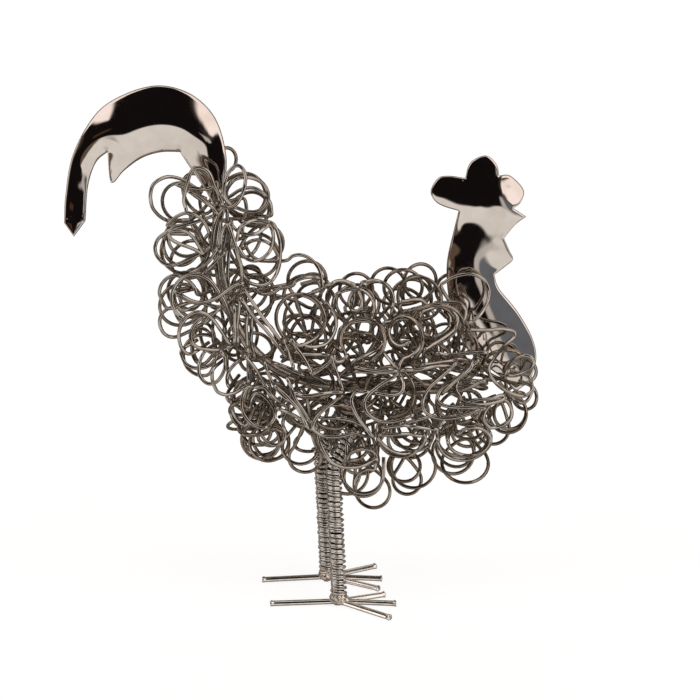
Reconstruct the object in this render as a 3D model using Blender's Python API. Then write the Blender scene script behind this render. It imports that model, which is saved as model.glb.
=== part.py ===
"""Wire rooster ornament: two polished plates on a bent rod, wound with ringed wire.

The bird faces +X and stands on two feet at Z = 0, with its width along Y.
A bent spine rod carries the tail plate and the head plate.  One long wire is bent
into rings and wound round the spine in wreaths.  Two legs, each a bent rod
wrapped in fine wire, end in welded feet of four cut rods.
"""
import math

import bmesh
import bpy
from mathutils import Matrix, Vector
from mathutils.geometry import intersect_point_line

MM = 0.001
GAP = 0.35 * MM                   # left between two pieces that touch

# Wires and rods
WIRE_RADIUS = 0.85 * MM           # the ringed wire of the body
RING_RADIUS = 10.2 * MM           # one ring of that wire
SPINE_RADIUS = 2.5 * MM
LEG_CORE_RADIUS = 2.95 * MM       # a leg between two turns of its wrapping
LEG_RADIUS = 3.65 * MM            # a leg over its wrapping
LEG_WRAP_PITCH = 4.0 * MM
TOE_RADIUS = 1.35 * MM
TOE_SIDES = 8

# Plates
HEAD_CROWN = 4.6 * MM             # half the thickness at the thickest place
TAIL_CROWN = 4.2 * MM
PLATE_RIM = 0.7 * MM              # half the thickness at the edge
CROWN_REACH = 9.0 * MM            # how far in from the edge the crown still rises
PLATE_CELL = 6.5 * MM
PLATE_MERGE = 0.4 * MM            # mesh points nearer than this are made one
CUT_TOLERANCE = 0.05 * MM
CREASE_WIDTH = 2.2 * MM

# Outline points are (x, z, corner) in millimetres; a corner is sharp, the rest are rounded.
TAIL_OUTLINE = [
    (-103.3, 169.2, True), (-107.8, 175.3, True), (-107.0, 188.0, False),
    (-103.0, 206.6, False), (-92.2, 224.8, False), (-79.4, 233.5, False),
    (-63.7, 237.5, False), (-49.1, 233.5, False), (-38.5, 222.9, False),
    (-33.7, 206.6, False), (-34.4, 192.0, False), (-36.0, 184.0, True),
    (-39.6, 183.0, True), (-43.2, 190.0, False), (-50.3, 200.7, False),
    (-54.6, 207.6, True), (-63.4, 207.5, False), (-72.0, 204.8, False),
    (-80.2, 198.9, False), (-84.6, 193.9, False), (-86.6, 195.4, False),
    (-87.2, 207.6, True), (-92.8, 202.6, False), (-96.6, 192.0, False),
    (-98.1, 176.2, True),
]
HEAD_OUTLINE = [
    (58.5, 190.3, False), (61.8, 195.9, False), (67.0, 196.9, False),
    (74.0, 195.9, True), (76.4, 203.0, False), (83.4, 206.0, False),
    (88.2, 202.0, False), (89.3, 197.0, True), (94.5, 196.8, False),
    (100.6, 190.4, False), (99.2, 184.6, False), (95.9, 182.3, True),
    (101.9, 178.3, True), (97.0, 174.6, False), (92.0, 168.4, True),
    (94.6, 162.6, False), (96.3, 158.6, False), (93.0, 155.4, False),
    (87.9, 151.4, True), (90.2, 145.0, False), (98.5, 134.7, False),
    (105.5, 122.6, False), (107.8, 112.4, False), (105.2, 101.8, True),
    (98.4, 96.6, True), (91.8, 103.6, True), (76.2, 116.2, False),
    (70.8, 128.0, False), (67.0, 141.5, False), (66.3, 157.0, False),
    (69.4, 173.0, False), (71.2, 181.0, True), (63.9, 183.2, False),
    (60.0, 186.0, False),
]
# A crease is a groove between two swellings of a plate: (x, z) to (x, z), and its depth.
TAIL_CREASES = [((-63.0, 214.0), (-38.0, 184.0), 0.35)]
HEAD_CREASES = [((69.0, 182.2), (97.0, 182.2), 0.55), ((74.0, 196.0), (80.0, 186.5), 0.3),
                ((89.3, 197.0), (88.6, 184.0), 0.45)]

# The spine's route, (x, z) in millimetres, from the tail plate to the head plate
SPINE_ROUTE = [(-37.9, 182.2), (-38.2, 165.0), (-35.5, 143.0), (-26.0, 121.0), (-10.0, 106.5),
               (10.0, 100.5), (32.0, 98.5), (56.0, 98.0), (70.0, 100.0), (82.5, 110.1)]
SPINE_STEP = 8.0 * MM

# Legs: foot place and leg route, (x, y, z) in millimetres
NEAR_LEG = [(17.0, -19.3, 8.0), (14.6, -16.6, 60.0), (15.2, -15.8, 66.5), (18.4, -13.2, 72.5),
            (29.6, -4.1, 93.6)]
FAR_LEG = [(11.2, 19.3, 8.0), (8.8, 16.6, 60.0), (9.4, 15.8, 66.5), (12.6, 13.2, 72.5),
           (23.0, 4.1, 94.0)]
WELD_SIZE = (4.5 * MM, 4.3 * MM, 3.4 * MM)
WELD_HEIGHT = 3.8 * MM
WELD_LUMP = 0.06
# Toes: name, angle away from straight ahead (positive is towards the other leg), length
NEAR_TOES = [("back", 180.0, 31.5 * MM), ("inner", 33.0, 25.0 * MM), ("middle", 0.0, 26.0 * MM),
             ("outer", -42.0, 31.0 * MM)]
FAR_TOES = [("back", 177.0, 31.0 * MM), ("inner", 33.0, 29.0 * MM), ("middle", 0.0, 26.0 * MM),
            ("outer", -42.0, 31.0 * MM)]
TOE_START = 5.1 * MM              # from the foot's centre to a toe's inner end

# Wreaths of rings.  A tail wreath goes round an upright axis, and a body wreath round one that
# runs along the bird.  Each is: name, the axis's place (x, z) in millimetres, how far its rings
# stand out forward (tail) or up (body), the other way, and sideways, how many rings, then the
# angle in degrees where the winding starts and how much of the round it leaves open.
TAIL_WREATHS = [
    ("coil_tail_1", -38.0, 185.8, 24.0, 32.0, 24.0, 8, 0.0, 25.0),
    ("coil_tail_2", -38.0, 163.2, 31.0, 29.5, 28.0, 10, 0.0, 25.0),
    ("coil_tail_3", -37.5, 140.6, 28.0, 29.0, 31.0, 10, 0.0, 25.0),
    ("coil_tail_4", -33.5, 118.0, 24.0, 24.0, 33.0, 10, 0.0, 25.0),
]
TAIL_HALF_WIDTH = 10.55 * MM
BODY_WREATHS = [
    ("coil_rump", -20.9, 85.0, 20.9, 21.5, 29.0, 9, 0.0, 25.0),
    ("coil_back_1", 2.4, 105.0, 47.5, 47.5, 38.0, 15, 5.0, 22.5),
    ("coil_back_2", 25.7, 100.2, 54.0, 57.0, 40.0, 15, -6.0, 22.5),
    ("coil_back_3", 49.0, 102.3, 54.0, 53.0, 40.0, 15, 0.0, 22.5),
    ("coil_breast_1", 72.3, 100.0, 45.0, 45.5, 37.0, 14, 16.0, 32.0),
    ("coil_breast_2", 95.6, 99.4, 27.5, 28.0, 25.0, 7, 52.0, 104.0),
]
BODY_HALF_WIDTH = 10.9 * MM
WREATH_HOLE = 6.0 * MM            # kept free round the axis
TWO_LAYER_REACH = 40.0 * MM       # a wreath that reaches further has inner rings too
INNER_RING_PLACE = 17.6 * MM      # centre of an inner ring, from the wreath's axis
INNER_FROM = 0.45                 # how near a diagonal a ring is before it moves inwards
INNER_BLEND = 0.7
LEAD_REACH = 10.0 * MM            # a wire end this near the spine is led in to it
WIRE_BEND_ROOM = 1.2 * MM         # clear of a rod, so that a ring's flats don't cut into it
MOVED = 0.1 * MM                  # a point pushed further than this is kept for the bend
TAIL_ROOT = [(-38.0, 184.0), (-46.0, 203.0)]    # the tail plate's lower end, as a rod
TAIL_ROOT_RADIUS = 5.4 * MM
RING_POINTS = 7
FACET_SWELL = 1.04                # makes up for what a ring of few flats cuts off
FINE_POINTS = 4                   # samples of the winding for each point that is kept

PLATE_COLOUR = (0.72, 0.69, 0.66)
WIRE_COLOUR = (0.58, 0.54, 0.50)
ROD_COLOUR = (0.50, 0.46, 0.42)


def make_material(name, colour, roughness):
    """A polished or drawn metal."""
    material = bpy.data.materials.new(name)
    material.use_nodes = True
    shader = material.node_tree.nodes["Principled BSDF"]
    shader.inputs["Base Color"].default_value = (*colour, 1.0)
    shader.inputs["Metallic"].default_value = 1.0
    shader.inputs["Roughness"].default_value = roughness
    return material


def add_object(name, data, material, collection):
    """Link a mesh or a curve as one named piece of the ornament."""
    data.materials.append(material)
    piece = bpy.data.objects.new(name, data)
    collection.objects.link(piece)
    return piece


def add_rod(name, points, radius, resolution, material, collection, swell=None):
    """A round wire or rod along a line of points; swell gives each point's share of radius."""
    curve = bpy.data.curves.new(name, "CURVE")
    curve.dimensions = "3D"
    curve.bevel_depth = radius
    curve.bevel_resolution = resolution
    curve.use_fill_caps = True
    spline = curve.splines.new("POLY")
    spline.points.add(len(points) - 1)
    for index, point in enumerate(points):
        spline.points[index].co = (*point, 1.0)
        spline.points[index].radius = swell[index] if swell else 1.0
    return add_object(name, curve, material, collection)


def smooth_route(knots, steps):
    """Points of a curve that passes through every knot, with steps points to each stretch."""
    knots = [Vector(knot) for knot in knots]
    ends = [2.0 * knots[0] - knots[1]] + knots + [2.0 * knots[-1] - knots[-2]]
    route = []
    for before, start, stop, after in zip(ends, ends[1:], ends[2:], ends[3:]):
        for step in range(steps):
            t = step / steps
            route.append(0.5 * (2.0 * start + (stop - before) * t
                                + (2.0 * before - 5.0 * start + 4.0 * stop - after) * t * t
                                + (3.0 * start - before - 3.0 * stop + after) * t ** 3))
    return route + [knots[-1]]


def nearest_on_route(place, route):
    """The point of a line of points that is nearest to a place."""
    nearest = route[0]
    for start, stop in zip(route, route[1:]):
        foot, share = intersect_point_line(place, start, stop)
        foot = start if share < 0.0 else stop if share > 1.0 else foot
        if (place - foot).length < (place - nearest).length:
            nearest = foot
    return nearest


def even_route(route, spacing):
    """The same route with its points an even distance apart."""
    lengths = [0.0]
    for start, stop in zip(route, route[1:]):
        lengths.append(lengths[-1] + (stop - start).length)
    count = max(2, round(lengths[-1] / spacing))
    points = []
    segment = 0
    for index in range(count + 1):
        target = lengths[-1] * index / count
        while segment < len(route) - 2 and lengths[segment + 1] < target:
            segment += 1
        share = (target - lengths[segment]) / (lengths[segment + 1] - lengths[segment])
        points.append(route[segment].lerp(route[segment + 1], share))
    return points


# ---------------------------------------------------------------- plates

def in_plane(x, z):
    """A point of the bird's middle plane, from millimetres."""
    return Vector((x, 0.0, z)) * MM


def outline_points(outline):
    """The outline's own points, with a point between two where the edge is rounded."""
    points = []
    for index, (x, z, corner) in enumerate(outline):
        next_x, next_z, next_corner = outline[(index + 1) % len(outline)]
        start = in_plane(x, z)
        stop = in_plane(next_x, next_z)
        points.append(start)
        if corner and next_corner:
            continue
        # Half way along a cubic that leaves and arrives along the neighbours' directions
        leave = stop - start if corner else stop - in_plane(*outline[index - 1][:2])
        arrive = stop - start if next_corner else in_plane(*outline[(index + 2) % len(outline)][:2]) - start
        points.append(0.5 * (start + stop) + (leave - arrive) / 16.0)
    return points


def crown_height(place, edge, creases, crown):
    """Half the plate's thickness at a place: a round-shouldered crown with grooves in it."""
    from_edge = (place - nearest_on_route(place, edge + edge[:1])).length
    rise = min(from_edge / CROWN_REACH, 1.0)
    height = PLATE_RIM + (crown - PLATE_RIM) * math.sqrt(1.0 - (1.0 - rise) ** 2)
    for start, stop, depth in creases:
        groove = [in_plane(*start), in_plane(*stop)]
        from_groove = (place - nearest_on_route(place, groove)).length
        height *= 1.0 - depth * math.exp(-(from_groove / CREASE_WIDTH) ** 2)
    return height


def add_plate(name, outline, creases, crown, material, collection):
    """A crowned plate standing in the XZ plane, the same on both sides."""
    edge = outline_points(outline)
    mesh_builder = bmesh.new()
    rim = [mesh_builder.verts.new(point) for point in edge]
    mesh_builder.faces.new(rim)
    # Cut the flat face into cells along X and Z, and along each crease
    cuts = []
    for axis in (0, 2):
        low = min(point[axis] for point in edge)
        high = max(point[axis] for point in edge)
        cells = round((high - low) / PLATE_CELL)
        normal = Vector((1, 0, 0)) if axis == 0 else Vector((0, 0, 1))
        for cell in range(1, cells):
            cuts.append((normal * (low + (high - low) * cell / cells), normal))
    for start, stop, depth in creases:
        along = in_plane(*stop) - in_plane(*start)
        cuts.append((in_plane(*start), along.cross(Vector((0, 1, 0))).normalized()))
    for place, normal in cuts:
        bmesh.ops.bisect_plane(mesh_builder, geom=mesh_builder.verts[:] + mesh_builder.edges[:]
                               + mesh_builder.faces[:], dist=CUT_TOLERANCE, plane_co=place,
                               plane_no=normal)
    bmesh.ops.remove_doubles(mesh_builder, verts=mesh_builder.verts[:], dist=PLATE_MERGE)
    bmesh.ops.triangulate(mesh_builder, faces=mesh_builder.faces[:])
    # The crown on one side, then the other side and the edge between them
    heights = {vert: crown_height(vert.co, edge, creases, crown) for vert in mesh_builder.verts}
    extruded = bmesh.ops.extrude_face_region(mesh_builder, geom=mesh_builder.faces[:],
                                             use_keep_orig=True)
    top = [item for item in extruded["geom"] if isinstance(item, bmesh.types.BMVert)]
    for vert, height in heights.items():
        vert.co.y = -height
    for vert in top:
        flat = Vector((vert.co.x, 0.0, vert.co.z))
        vert.co.y = crown_height(flat, edge, creases, crown)
    bmesh.ops.recalc_face_normals(mesh_builder, faces=mesh_builder.faces[:])
    mesh = bpy.data.meshes.new(name)
    mesh_builder.to_mesh(mesh)
    mesh_builder.free()
    piece = add_object(name, mesh, material, collection)
    mesh.shade_smooth()
    return piece


# ---------------------------------------------------------------- the ringed wire

def keep_clear(point, rods):
    """Move a point of the wire off any rod that it would run into."""
    for route, clearance in rods:
        nearest = nearest_on_route(point, route)
        away = point - nearest
        if away.length < clearance:
            point = nearest + away.normalized() * clearance
    return point


def wreath_points(centre, axis, upward, reaches, half_width, rings, start, opening, rods):
    """The winding of one wreath: ring after ring round an axis, reaching out from it."""
    up_reach, down_reach, side_reach = reaches
    two_layers = min(up_reach, down_reach) > TWO_LAYER_REACH
    leg_passes = any(abs(place.x - centre.x) < half_width + LEG_RADIUS
                     for route, clearance in rods[1:3] for place in route)
    samples = rings * RING_POINTS * FINE_POINTS
    sideways = axis.cross(upward)
    points = []
    moved = []
    for sample in range(samples + 1):
        ring = rings * sample / samples
        angle = math.radians(start + (360.0 - opening) * ring / rings)
        reach = up_reach if math.cos(angle) > 0.0 else down_reach
        outer = 1.0 / math.hypot(math.cos(angle) / reach, math.sin(angle) / side_reach)
        ring_radius = min(RING_RADIUS, 0.5 * (min(outer, side_reach) - WREATH_HOLE))
        place = outer - ring_radius - WIRE_RADIUS
        if two_layers and (math.cos(angle) > 0.0 or not leg_passes):
            # A ring on each diagonal lies in the inner layer, where no leg is in its way
            inner_share = 0.5 - 0.5 * math.cos(4.0 * angle)
            inner_share = max(0.0, (inner_share - INNER_FROM) / (1.0 - INNER_FROM)) ** INNER_BLEND
            place += (INNER_RING_PLACE - place) * inner_share
        swing = 2.0 * math.pi * ring
        radial = upward * math.cos(angle) + sideways * math.sin(angle)
        point = (centre + axis * (half_width * math.sin(swing))
                 + radial * (place - FACET_SWELL * ring_radius * math.cos(swing)))
        clear_point = keep_clear(point, rods)
        points.append(clear_point)
        moved.append((clear_point - point).length > MOVED)
    # Keep every fourth sample, and every second one where the wire bends round a rod
    kept = [point for index, point in enumerate(points)
            if index % FINE_POINTS == 0 or (moved[index] and index % 2 == 0)]
    # Lead the first end in to the spine, where that is near
    spine = rods[0][0]
    nearest = nearest_on_route(kept[0], spine)
    away = kept[0] - nearest
    if away.length < LEAD_REACH:
        kept.insert(0, nearest + away.normalized() * (SPINE_RADIUS + WIRE_RADIUS + GAP))
    return kept


def add_wreaths(rods, material, collection):
    """All the ringed wire, down the tail and along the body."""
    forward = Vector((1.0, 0.0, 0.0))
    upward = Vector((0.0, 0.0, 1.0))
    for wreaths, axis, outward, half_width in ((TAIL_WREATHS, -upward, forward, TAIL_HALF_WIDTH),
                                               (BODY_WREATHS, forward, upward, BODY_HALF_WIDTH)):
        for name, x, z, one_way, other_way, side, rings, start, opening in wreaths:
            points = wreath_points(Vector((x, 0.0, z)) * MM, axis, outward,
                                   (one_way * MM, other_way * MM, side * MM), half_width,
                                   rings, start, opening, rods)
            add_rod(name, points, WIRE_RADIUS, 0, material, collection)


# ---------------------------------------------------------------- legs and feet

def leg_route(knots):
    """A leg's centre line, from the weld at the foot up to the spine."""
    return smooth_route([Vector(knot) * MM for knot in knots], 6)


def add_leg(name, knots, material, collection):
    """A rod wrapped in fine wire, which stands out in rings all the way up."""
    points = even_route(leg_route(knots), 0.5 * LEG_WRAP_PITCH)
    swell = [1.0 if index % 2 else LEG_CORE_RADIUS / LEG_RADIUS for index in range(len(points))]
    return add_rod(name, points, LEG_RADIUS, 2, material, collection, swell)


def add_toe(name, foot, angle, length, material, collection):
    """A cut rod lying on the ground, with one of its flats down."""
    bpy.ops.mesh.primitive_cylinder_add(vertices=TOE_SIDES, radius=TOE_RADIUS, depth=length - TOE_START)
    toe = bpy.context.object
    toe.name = name
    toe.data.name = name
    half_side = math.pi / TOE_SIDES
    middle = 0.5 * (length + TOE_START)
    toe.data.transform(Matrix.Rotation(half_side, 4, "Z"))
    toe.rotation_euler = (0.0, math.radians(90.0), angle)
    toe.location = (foot[0] * MM + middle * math.cos(angle), foot[1] * MM + middle * math.sin(angle),
                    TOE_RADIUS * math.cos(half_side))
    toe.data.materials.append(material)
    for old in list(toe.users_collection):
        old.objects.unlink(toe)
    collection.objects.link(toe)
    return toe


def add_weld(name, foot, material, collection):
    """The lump of weld that joins the four toes under a leg."""
    mesh_builder = bmesh.new()
    bmesh.ops.create_icosphere(mesh_builder, subdivisions=2, radius=1.0)
    for vert in mesh_builder.verts:
        lump = 1.0 + WELD_LUMP * math.sin(5.0 * vert.co.x + 1.0) * math.cos(4.0 * vert.co.y)
        vert.co = Vector(size * part * lump for size, part in zip(WELD_SIZE, vert.co))
        vert.co += Vector((foot[0] * MM, foot[1] * MM, WELD_HEIGHT))
    mesh = bpy.data.meshes.new(name)
    mesh_builder.to_mesh(mesh)
    mesh_builder.free()
    mesh.shade_smooth()
    return add_object(name, mesh, material, collection)


def add_foot(side, foot, toes, inward, material, collection):
    """The toes and their weld; inward is +1 where the other leg is at +Y."""
    for toe_name, degrees, length in toes:
        add_toe(side + "_" + toe_name + "_toe", foot, inward * math.radians(degrees), length,
                material, collection)
    add_weld(side + "_foot_weld", foot, material, collection)


# ---------------------------------------------------------------- the ornament

def main():
    for old in list(bpy.data.objects):
        bpy.data.objects.remove(old, do_unlink=True)
    collection = bpy.data.collections.new("wire_rooster_ornament")
    bpy.context.scene.collection.children.link(collection)
    plate_metal = make_material("polished_nickel", PLATE_COLOUR, 0.06)
    wire_metal = make_material("nickel_wire", WIRE_COLOUR, 0.2)
    rod_metal = make_material("nickel_rod", ROD_COLOUR, 0.3)

    add_plate("tail_plate", TAIL_OUTLINE, TAIL_CREASES, TAIL_CROWN, plate_metal, collection)
    add_plate("head_plate", HEAD_OUTLINE, HEAD_CREASES, HEAD_CROWN, plate_metal, collection)

    spine = even_route(smooth_route([in_plane(x, z) for x, z in SPINE_ROUTE], 6), SPINE_STEP)
    add_rod("spine", spine, SPINE_RADIUS, 1, rod_metal, collection)
    add_leg("near_leg", NEAR_LEG, wire_metal, collection)
    add_leg("far_leg", FAR_LEG, wire_metal, collection)
    add_foot("near", NEAR_LEG[0], NEAR_TOES, 1.0, rod_metal, collection)
    add_foot("far", FAR_LEG[0], FAR_TOES, -1.0, rod_metal, collection)

    bend_room = WIRE_RADIUS + WIRE_BEND_ROOM
    rods = [(spine, SPINE_RADIUS + bend_room),
            (leg_route(NEAR_LEG), LEG_RADIUS + bend_room),
            (leg_route(FAR_LEG), LEG_RADIUS + bend_room),
            ([in_plane(x, z) for x, z in TAIL_ROOT], TAIL_ROOT_RADIUS + bend_room)]
    add_wreaths(rods, wire_metal, collection)


main()
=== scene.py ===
"""Wire rooster ornament: crowned nickel plates on a bent rod, wound with ringed wire.

The bird faces +X and stands at Z = 0.  The sections follow the ornament as it is put
together: the table and light it stands in, the two plates, the rods, the ringed wire,
the wrapped legs and the welded feet.
"""
import math
import random

import bmesh
import bpy
import numpy
from mathutils import Matrix, Vector, noise
from mathutils.geometry import intersect_point_line


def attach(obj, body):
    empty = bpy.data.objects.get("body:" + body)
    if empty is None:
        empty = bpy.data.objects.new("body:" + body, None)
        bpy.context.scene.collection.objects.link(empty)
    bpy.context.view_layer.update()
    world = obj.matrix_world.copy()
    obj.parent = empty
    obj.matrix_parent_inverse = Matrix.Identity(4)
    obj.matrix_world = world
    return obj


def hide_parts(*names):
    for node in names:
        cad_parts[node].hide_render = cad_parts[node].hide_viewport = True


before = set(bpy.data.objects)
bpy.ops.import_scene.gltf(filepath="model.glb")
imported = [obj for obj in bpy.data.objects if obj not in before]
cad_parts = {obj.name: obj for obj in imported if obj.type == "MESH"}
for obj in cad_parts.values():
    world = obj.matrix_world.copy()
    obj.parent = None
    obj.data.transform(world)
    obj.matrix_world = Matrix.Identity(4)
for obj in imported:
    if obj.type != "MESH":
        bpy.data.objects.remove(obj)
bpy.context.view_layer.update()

MM = 0.001


# ---------------------------------------------------------------- table, tent and camera
# The bird stands on a pale matt table inside a light tent.  The tent's cloth is lit from
# outside, and its front opening shows as a dark window in every polished face.

TABLE_SIZE = 60.0                 # in metres, so that its far edge is out of sight
TABLE_GREY = 0.30
TABLE_GLOW = 0.86                 # the tent lights it so evenly that its shadows are faint
CAMERA_PLACE = Vector((0.022, -0.95, 0.300))
CAMERA_AIM = Vector((0.022, 0.0, 0.1165))
LENS = 108.3

bpy.ops.mesh.primitive_plane_add(size=TABLE_SIZE, location=(0.0, 0.0, 0.0))
table = bpy.context.object
table.name = "table_top"
table_paint = bpy.data.materials.new("matt_table")
table_paint.use_nodes = True
table_shader = table_paint.node_tree.nodes["Principled BSDF"]
table_shader.inputs["Base Color"].default_value = (TABLE_GREY, TABLE_GREY, TABLE_GREY, 1.0)
table_shader.inputs["Roughness"].default_value = 0.9
table_shader.inputs["Emission Color"].default_value = (1.0, 1.0, 1.0, 1.0)
table_shader.inputs["Emission Strength"].default_value = TABLE_GLOW
table.data.materials.append(table_paint)
table.visible_glossy = False

tent = bpy.data.worlds.new("light_tent")
bpy.context.scene.world = tent
tent.use_nodes = True
tent_nodes = tent.node_tree.nodes
tent_links = tent.node_tree.links
tent_nodes.clear()


def tent_node(kind, **settings):
    """A node of the tent's shader, with its settings."""
    node = tent_nodes.new(kind)
    for name, value in settings.items():
        setattr(node, name, value)
    return node


tent_way = tent_node("ShaderNodeTexCoord")
tent_axes = tent_node("ShaderNodeSeparateXYZ")
tent_links.new(tent_way.outputs["Generated"], tent_axes.inputs["Vector"])


def tent_edge(value, start, stop):
    """0 where value is below start, rising smoothly to 1 at stop."""
    ramp = tent_node("ShaderNodeMapRange", interpolation_type="SMOOTHSTEP")
    ramp.inputs["From Min"].default_value = start
    ramp.inputs["From Max"].default_value = stop
    tent_links.new(value, ramp.inputs["Value"])
    return ramp.outputs["Result"]


def tent_math(operation, first, second):
    """One sum of two values, of which either may be a number."""
    node = tent_node("ShaderNodeMath", operation=operation)
    for socket, value in zip(node.inputs, (first, second)):
        if isinstance(value, (int, float)):
            socket.default_value = value
        else:
            tent_links.new(value, socket)
    return node.outputs["Value"]


def tent_lay(under, colour, mask):
    """Lay a colour over what is there, where mask is 1."""
    mix = tent_node("ShaderNodeMix", data_type="RGBA")
    tent_links.new(mask, mix.inputs["Factor"])
    if isinstance(under, tuple):
        mix.inputs["A"].default_value = (*under, 1.0)
    else:
        tent_links.new(under, mix.inputs["A"])
    mix.inputs["B"].default_value = (*colour, 1.0)
    return mix.outputs["Result"]


side_way, depth_way, up_way = (tent_axes.outputs[axis] for axis in "XYZ")
front_way = tent_math("MULTIPLY", depth_way, -1.0)
turn_way = tent_math("ARCTAN2", side_way, front_way)     # 0 is straight in front, + to the right
rise_way = tent_math("ARCSINE", up_way, 0.0)


def tent_panel(turns, rises, softness=3.0):
    """1 inside a panel of the tent, from its two turns and two rises in degrees."""
    soft = math.radians(softness)
    mask = None
    for way, (low, high) in ((turn_way, turns), (rise_way, rises)):
        low, high = math.radians(low), math.radians(high)
        inside = tent_edge(way, low - soft, low + soft)
        past_it = tent_edge(way, high - soft, high + soft)
        inside = tent_math("MULTIPLY", inside, tent_math("SUBTRACT", 1.0, past_it))
        mask = inside if mask is None else tent_math("MULTIPLY", mask, inside)
    return mask


TENT_CLOTH = (0.045, 0.037, 0.030)                       # dark, between its lit panels
# Each panel: its colour, turns and rises in degrees, and the softness of its edge.  A later
# panel lies over an earlier one.
TENT_PANELS = [
    ((0.92, 0.87, 0.81), (-105, 105), (-50, -13), 1.5),    # lit table in front
    ((0.26, 0.235, 0.21), (-180, 180), (-95, -50), 8.0),   # table under the bird
    ((1.32, 1.15, 1.07), (-78, -25), (13, 62), 1.5),       # left light
    ((1.32, 1.15, 1.07), (18, 80), (3, 62), 2.0),          # right light
    ((1.10, 1.07, 1.04), (-75, 75), (66, 95), 3.0),        # top light
    ((0.36, 0.33, 0.30), (118, 146), (-20, 60), 4.0),      # dim cloth at the back
    ((0.36, 0.33, 0.30), (-146, -118), (-20, 60), 4.0),
    ((0.26, 0.24, 0.22), (100, 190), (-50, -13), 3.0),     # table at the back
    ((0.26, 0.24, 0.22), (-190, -100), (-50, -13), 3.0),
    ((0.52, 0.49, 0.46), (110, 190), (16, 55), 4.0),       # back light
    ((0.52, 0.49, 0.46), (-190, -110), (16, 55), 4.0),
    ((0.14, 0.095, 0.065), (-75, -18), (-24, -11), 3.0),   # brown cloth low on the left
    ((0.008, 0.006, 0.006), (-48, 12), (-12.5, 14), 1.5),  # opening
    ((0.008, 0.006, 0.006), (-26, 15), (5, 64), 1.5),
    ((0.09, 0.040, 0.020), (-33, -20), (-2.5, 1.5), 1.5),  # warm edge of the opening
    ((0.62, 0.58, 0.54), (8, 15), (-15, -2.0), 1.5),       # pale post on the right
    ((0.165, 0.172, 0.19), (14, 50), (-15, 0.0), 1.5),     # dull cloth beside it
    ((0.10, 0.06, 0.04), (-58, -48), (-12.0, 5), 2.5),     # brown cloth on the left
    ((0.55, 0.48, 0.42), (-76, -58), (-12.0, 5), 2.0),     # pale post on the left
    ((1.55, 1.46, 1.36), (-92, -76), (-16.0, 14), 2.0),    # lights at the sides
    ((1.45, 1.38, 1.32), (54, 78), (-16.0, 5), 2.0),
]
light = TENT_CLOTH
for colour, turns, rises, softness in TENT_PANELS:
    light = tent_lay(light, colour, tent_panel(turns, rises, softness))

seen_tent = tent_node("ShaderNodeBackground")
seen_tent.inputs["Color"].default_value = (1.0, 1.0, 1.0, 1.0)
lit_tent = tent_node("ShaderNodeBackground")
tent_links.new(light, lit_tent.inputs["Color"])
by_camera = tent_node("ShaderNodeLightPath")             # the tent itself is seen as plain white
tent_choice = tent_node("ShaderNodeMixShader")
tent_links.new(by_camera.outputs["Is Camera Ray"], tent_choice.inputs["Fac"])
tent_links.new(lit_tent.outputs["Background"], tent_choice.inputs[1])
tent_links.new(seen_tent.outputs["Background"], tent_choice.inputs[2])
tent_out = tent_node("ShaderNodeOutputWorld")
tent_links.new(tent_choice.outputs["Shader"], tent_out.inputs["Surface"])

camera_data = bpy.data.cameras.new("camera")
camera_data.lens = LENS
camera_data.sensor_width = 36.0
camera_data.clip_end = 80.0
camera = bpy.data.objects.new("camera", camera_data)
bpy.context.scene.collection.objects.link(camera)
camera.location = CAMERA_PLACE
camera.rotation_euler = (CAMERA_AIM - CAMERA_PLACE).to_track_quat("-Z", "Y").to_euler()
bpy.context.scene.camera = camera
bpy.context.scene.view_settings.view_transform = "Standard"


# ---------------------------------------------------------------- tail plate
# A sickle feather cut from thick sheet, dished on both sides and polished to a mirror,
# then nickel plated.  Its stem is rolled and welded over the top of the spine rod.

RIM = 0.45                        # half the plate's thickness at its edge, in millimetres
RIM_STEPS = (0.25, 0.3, 0.4, 0.5)
ROUNDING = 0.6                    # the edge is rounded over by this much,
ROUNDING_REACH = 0.9              # this far in
EDGE_STEP = 0.35 * MM             # between points of an outline
CELL = 0.7 * MM                   # between points of a face
SNAP = 0.02 * MM                  # a point this close to a cut lies on it
MERGE = 0.12 * MM                 # points of a face closer than this are merged
AT_ONCE = 400                     # points measured at one time, to save memory
CROSSED = 0.93                    # a point less than this share of its inset deep has crossed over
DEEPEST = 0.4                     # a groove is no deeper than this
FADE = 2.5                        # a groove fades out over this much at the edge
SPRING = 0.25                     # rounds the sheet off where it is struck, in square millimetres
GIVE = 2.5                        # how far the sheet may give way between tips that disagree
LINE_WIDTH = 0.35                 # of the lines that polishing leaves
PATCH_STOPS = (0.32, 0.62)        # of the noise: all tarnish below these, all bright above
SMEAR_STOPS = (0.3, 0.7)
SMEARS = 3.3                      # smears are this many times finer than patches

# Each outline: x and z in millimetres, and whether it has a corner there
TAIL_OUTLINE = [
    (-103.3, 169.2, True), (-107.8, 175.3, True), (-107.0, 188.0, False),
    (-103.0, 206.6, False), (-92.2, 224.8, False), (-79.4, 233.5, False),
    (-63.7, 237.5, False), (-49.1, 233.5, False), (-38.5, 222.9, False),
    (-33.7, 206.6, False), (-34.4, 192.0, False), (-36.0, 184.0, True),
    (-39.6, 183.0, True), (-43.2, 190.0, False), (-50.3, 200.7, False),
    (-54.6, 207.6, True), (-63.4, 207.5, False), (-72.0, 204.8, False),
    (-80.2, 198.9, False), (-84.6, 193.9, False), (-86.6, 195.4, False),
    (-87.2, 207.6, True), (-92.8, 202.6, False), (-96.6, 192.0, False),
    (-98.1, 176.2, True),
]


def in_plane(x, z):
    """A point of the bird's middle plane, from millimetres."""
    return Vector((x, 0.0, z)) * MM


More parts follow.
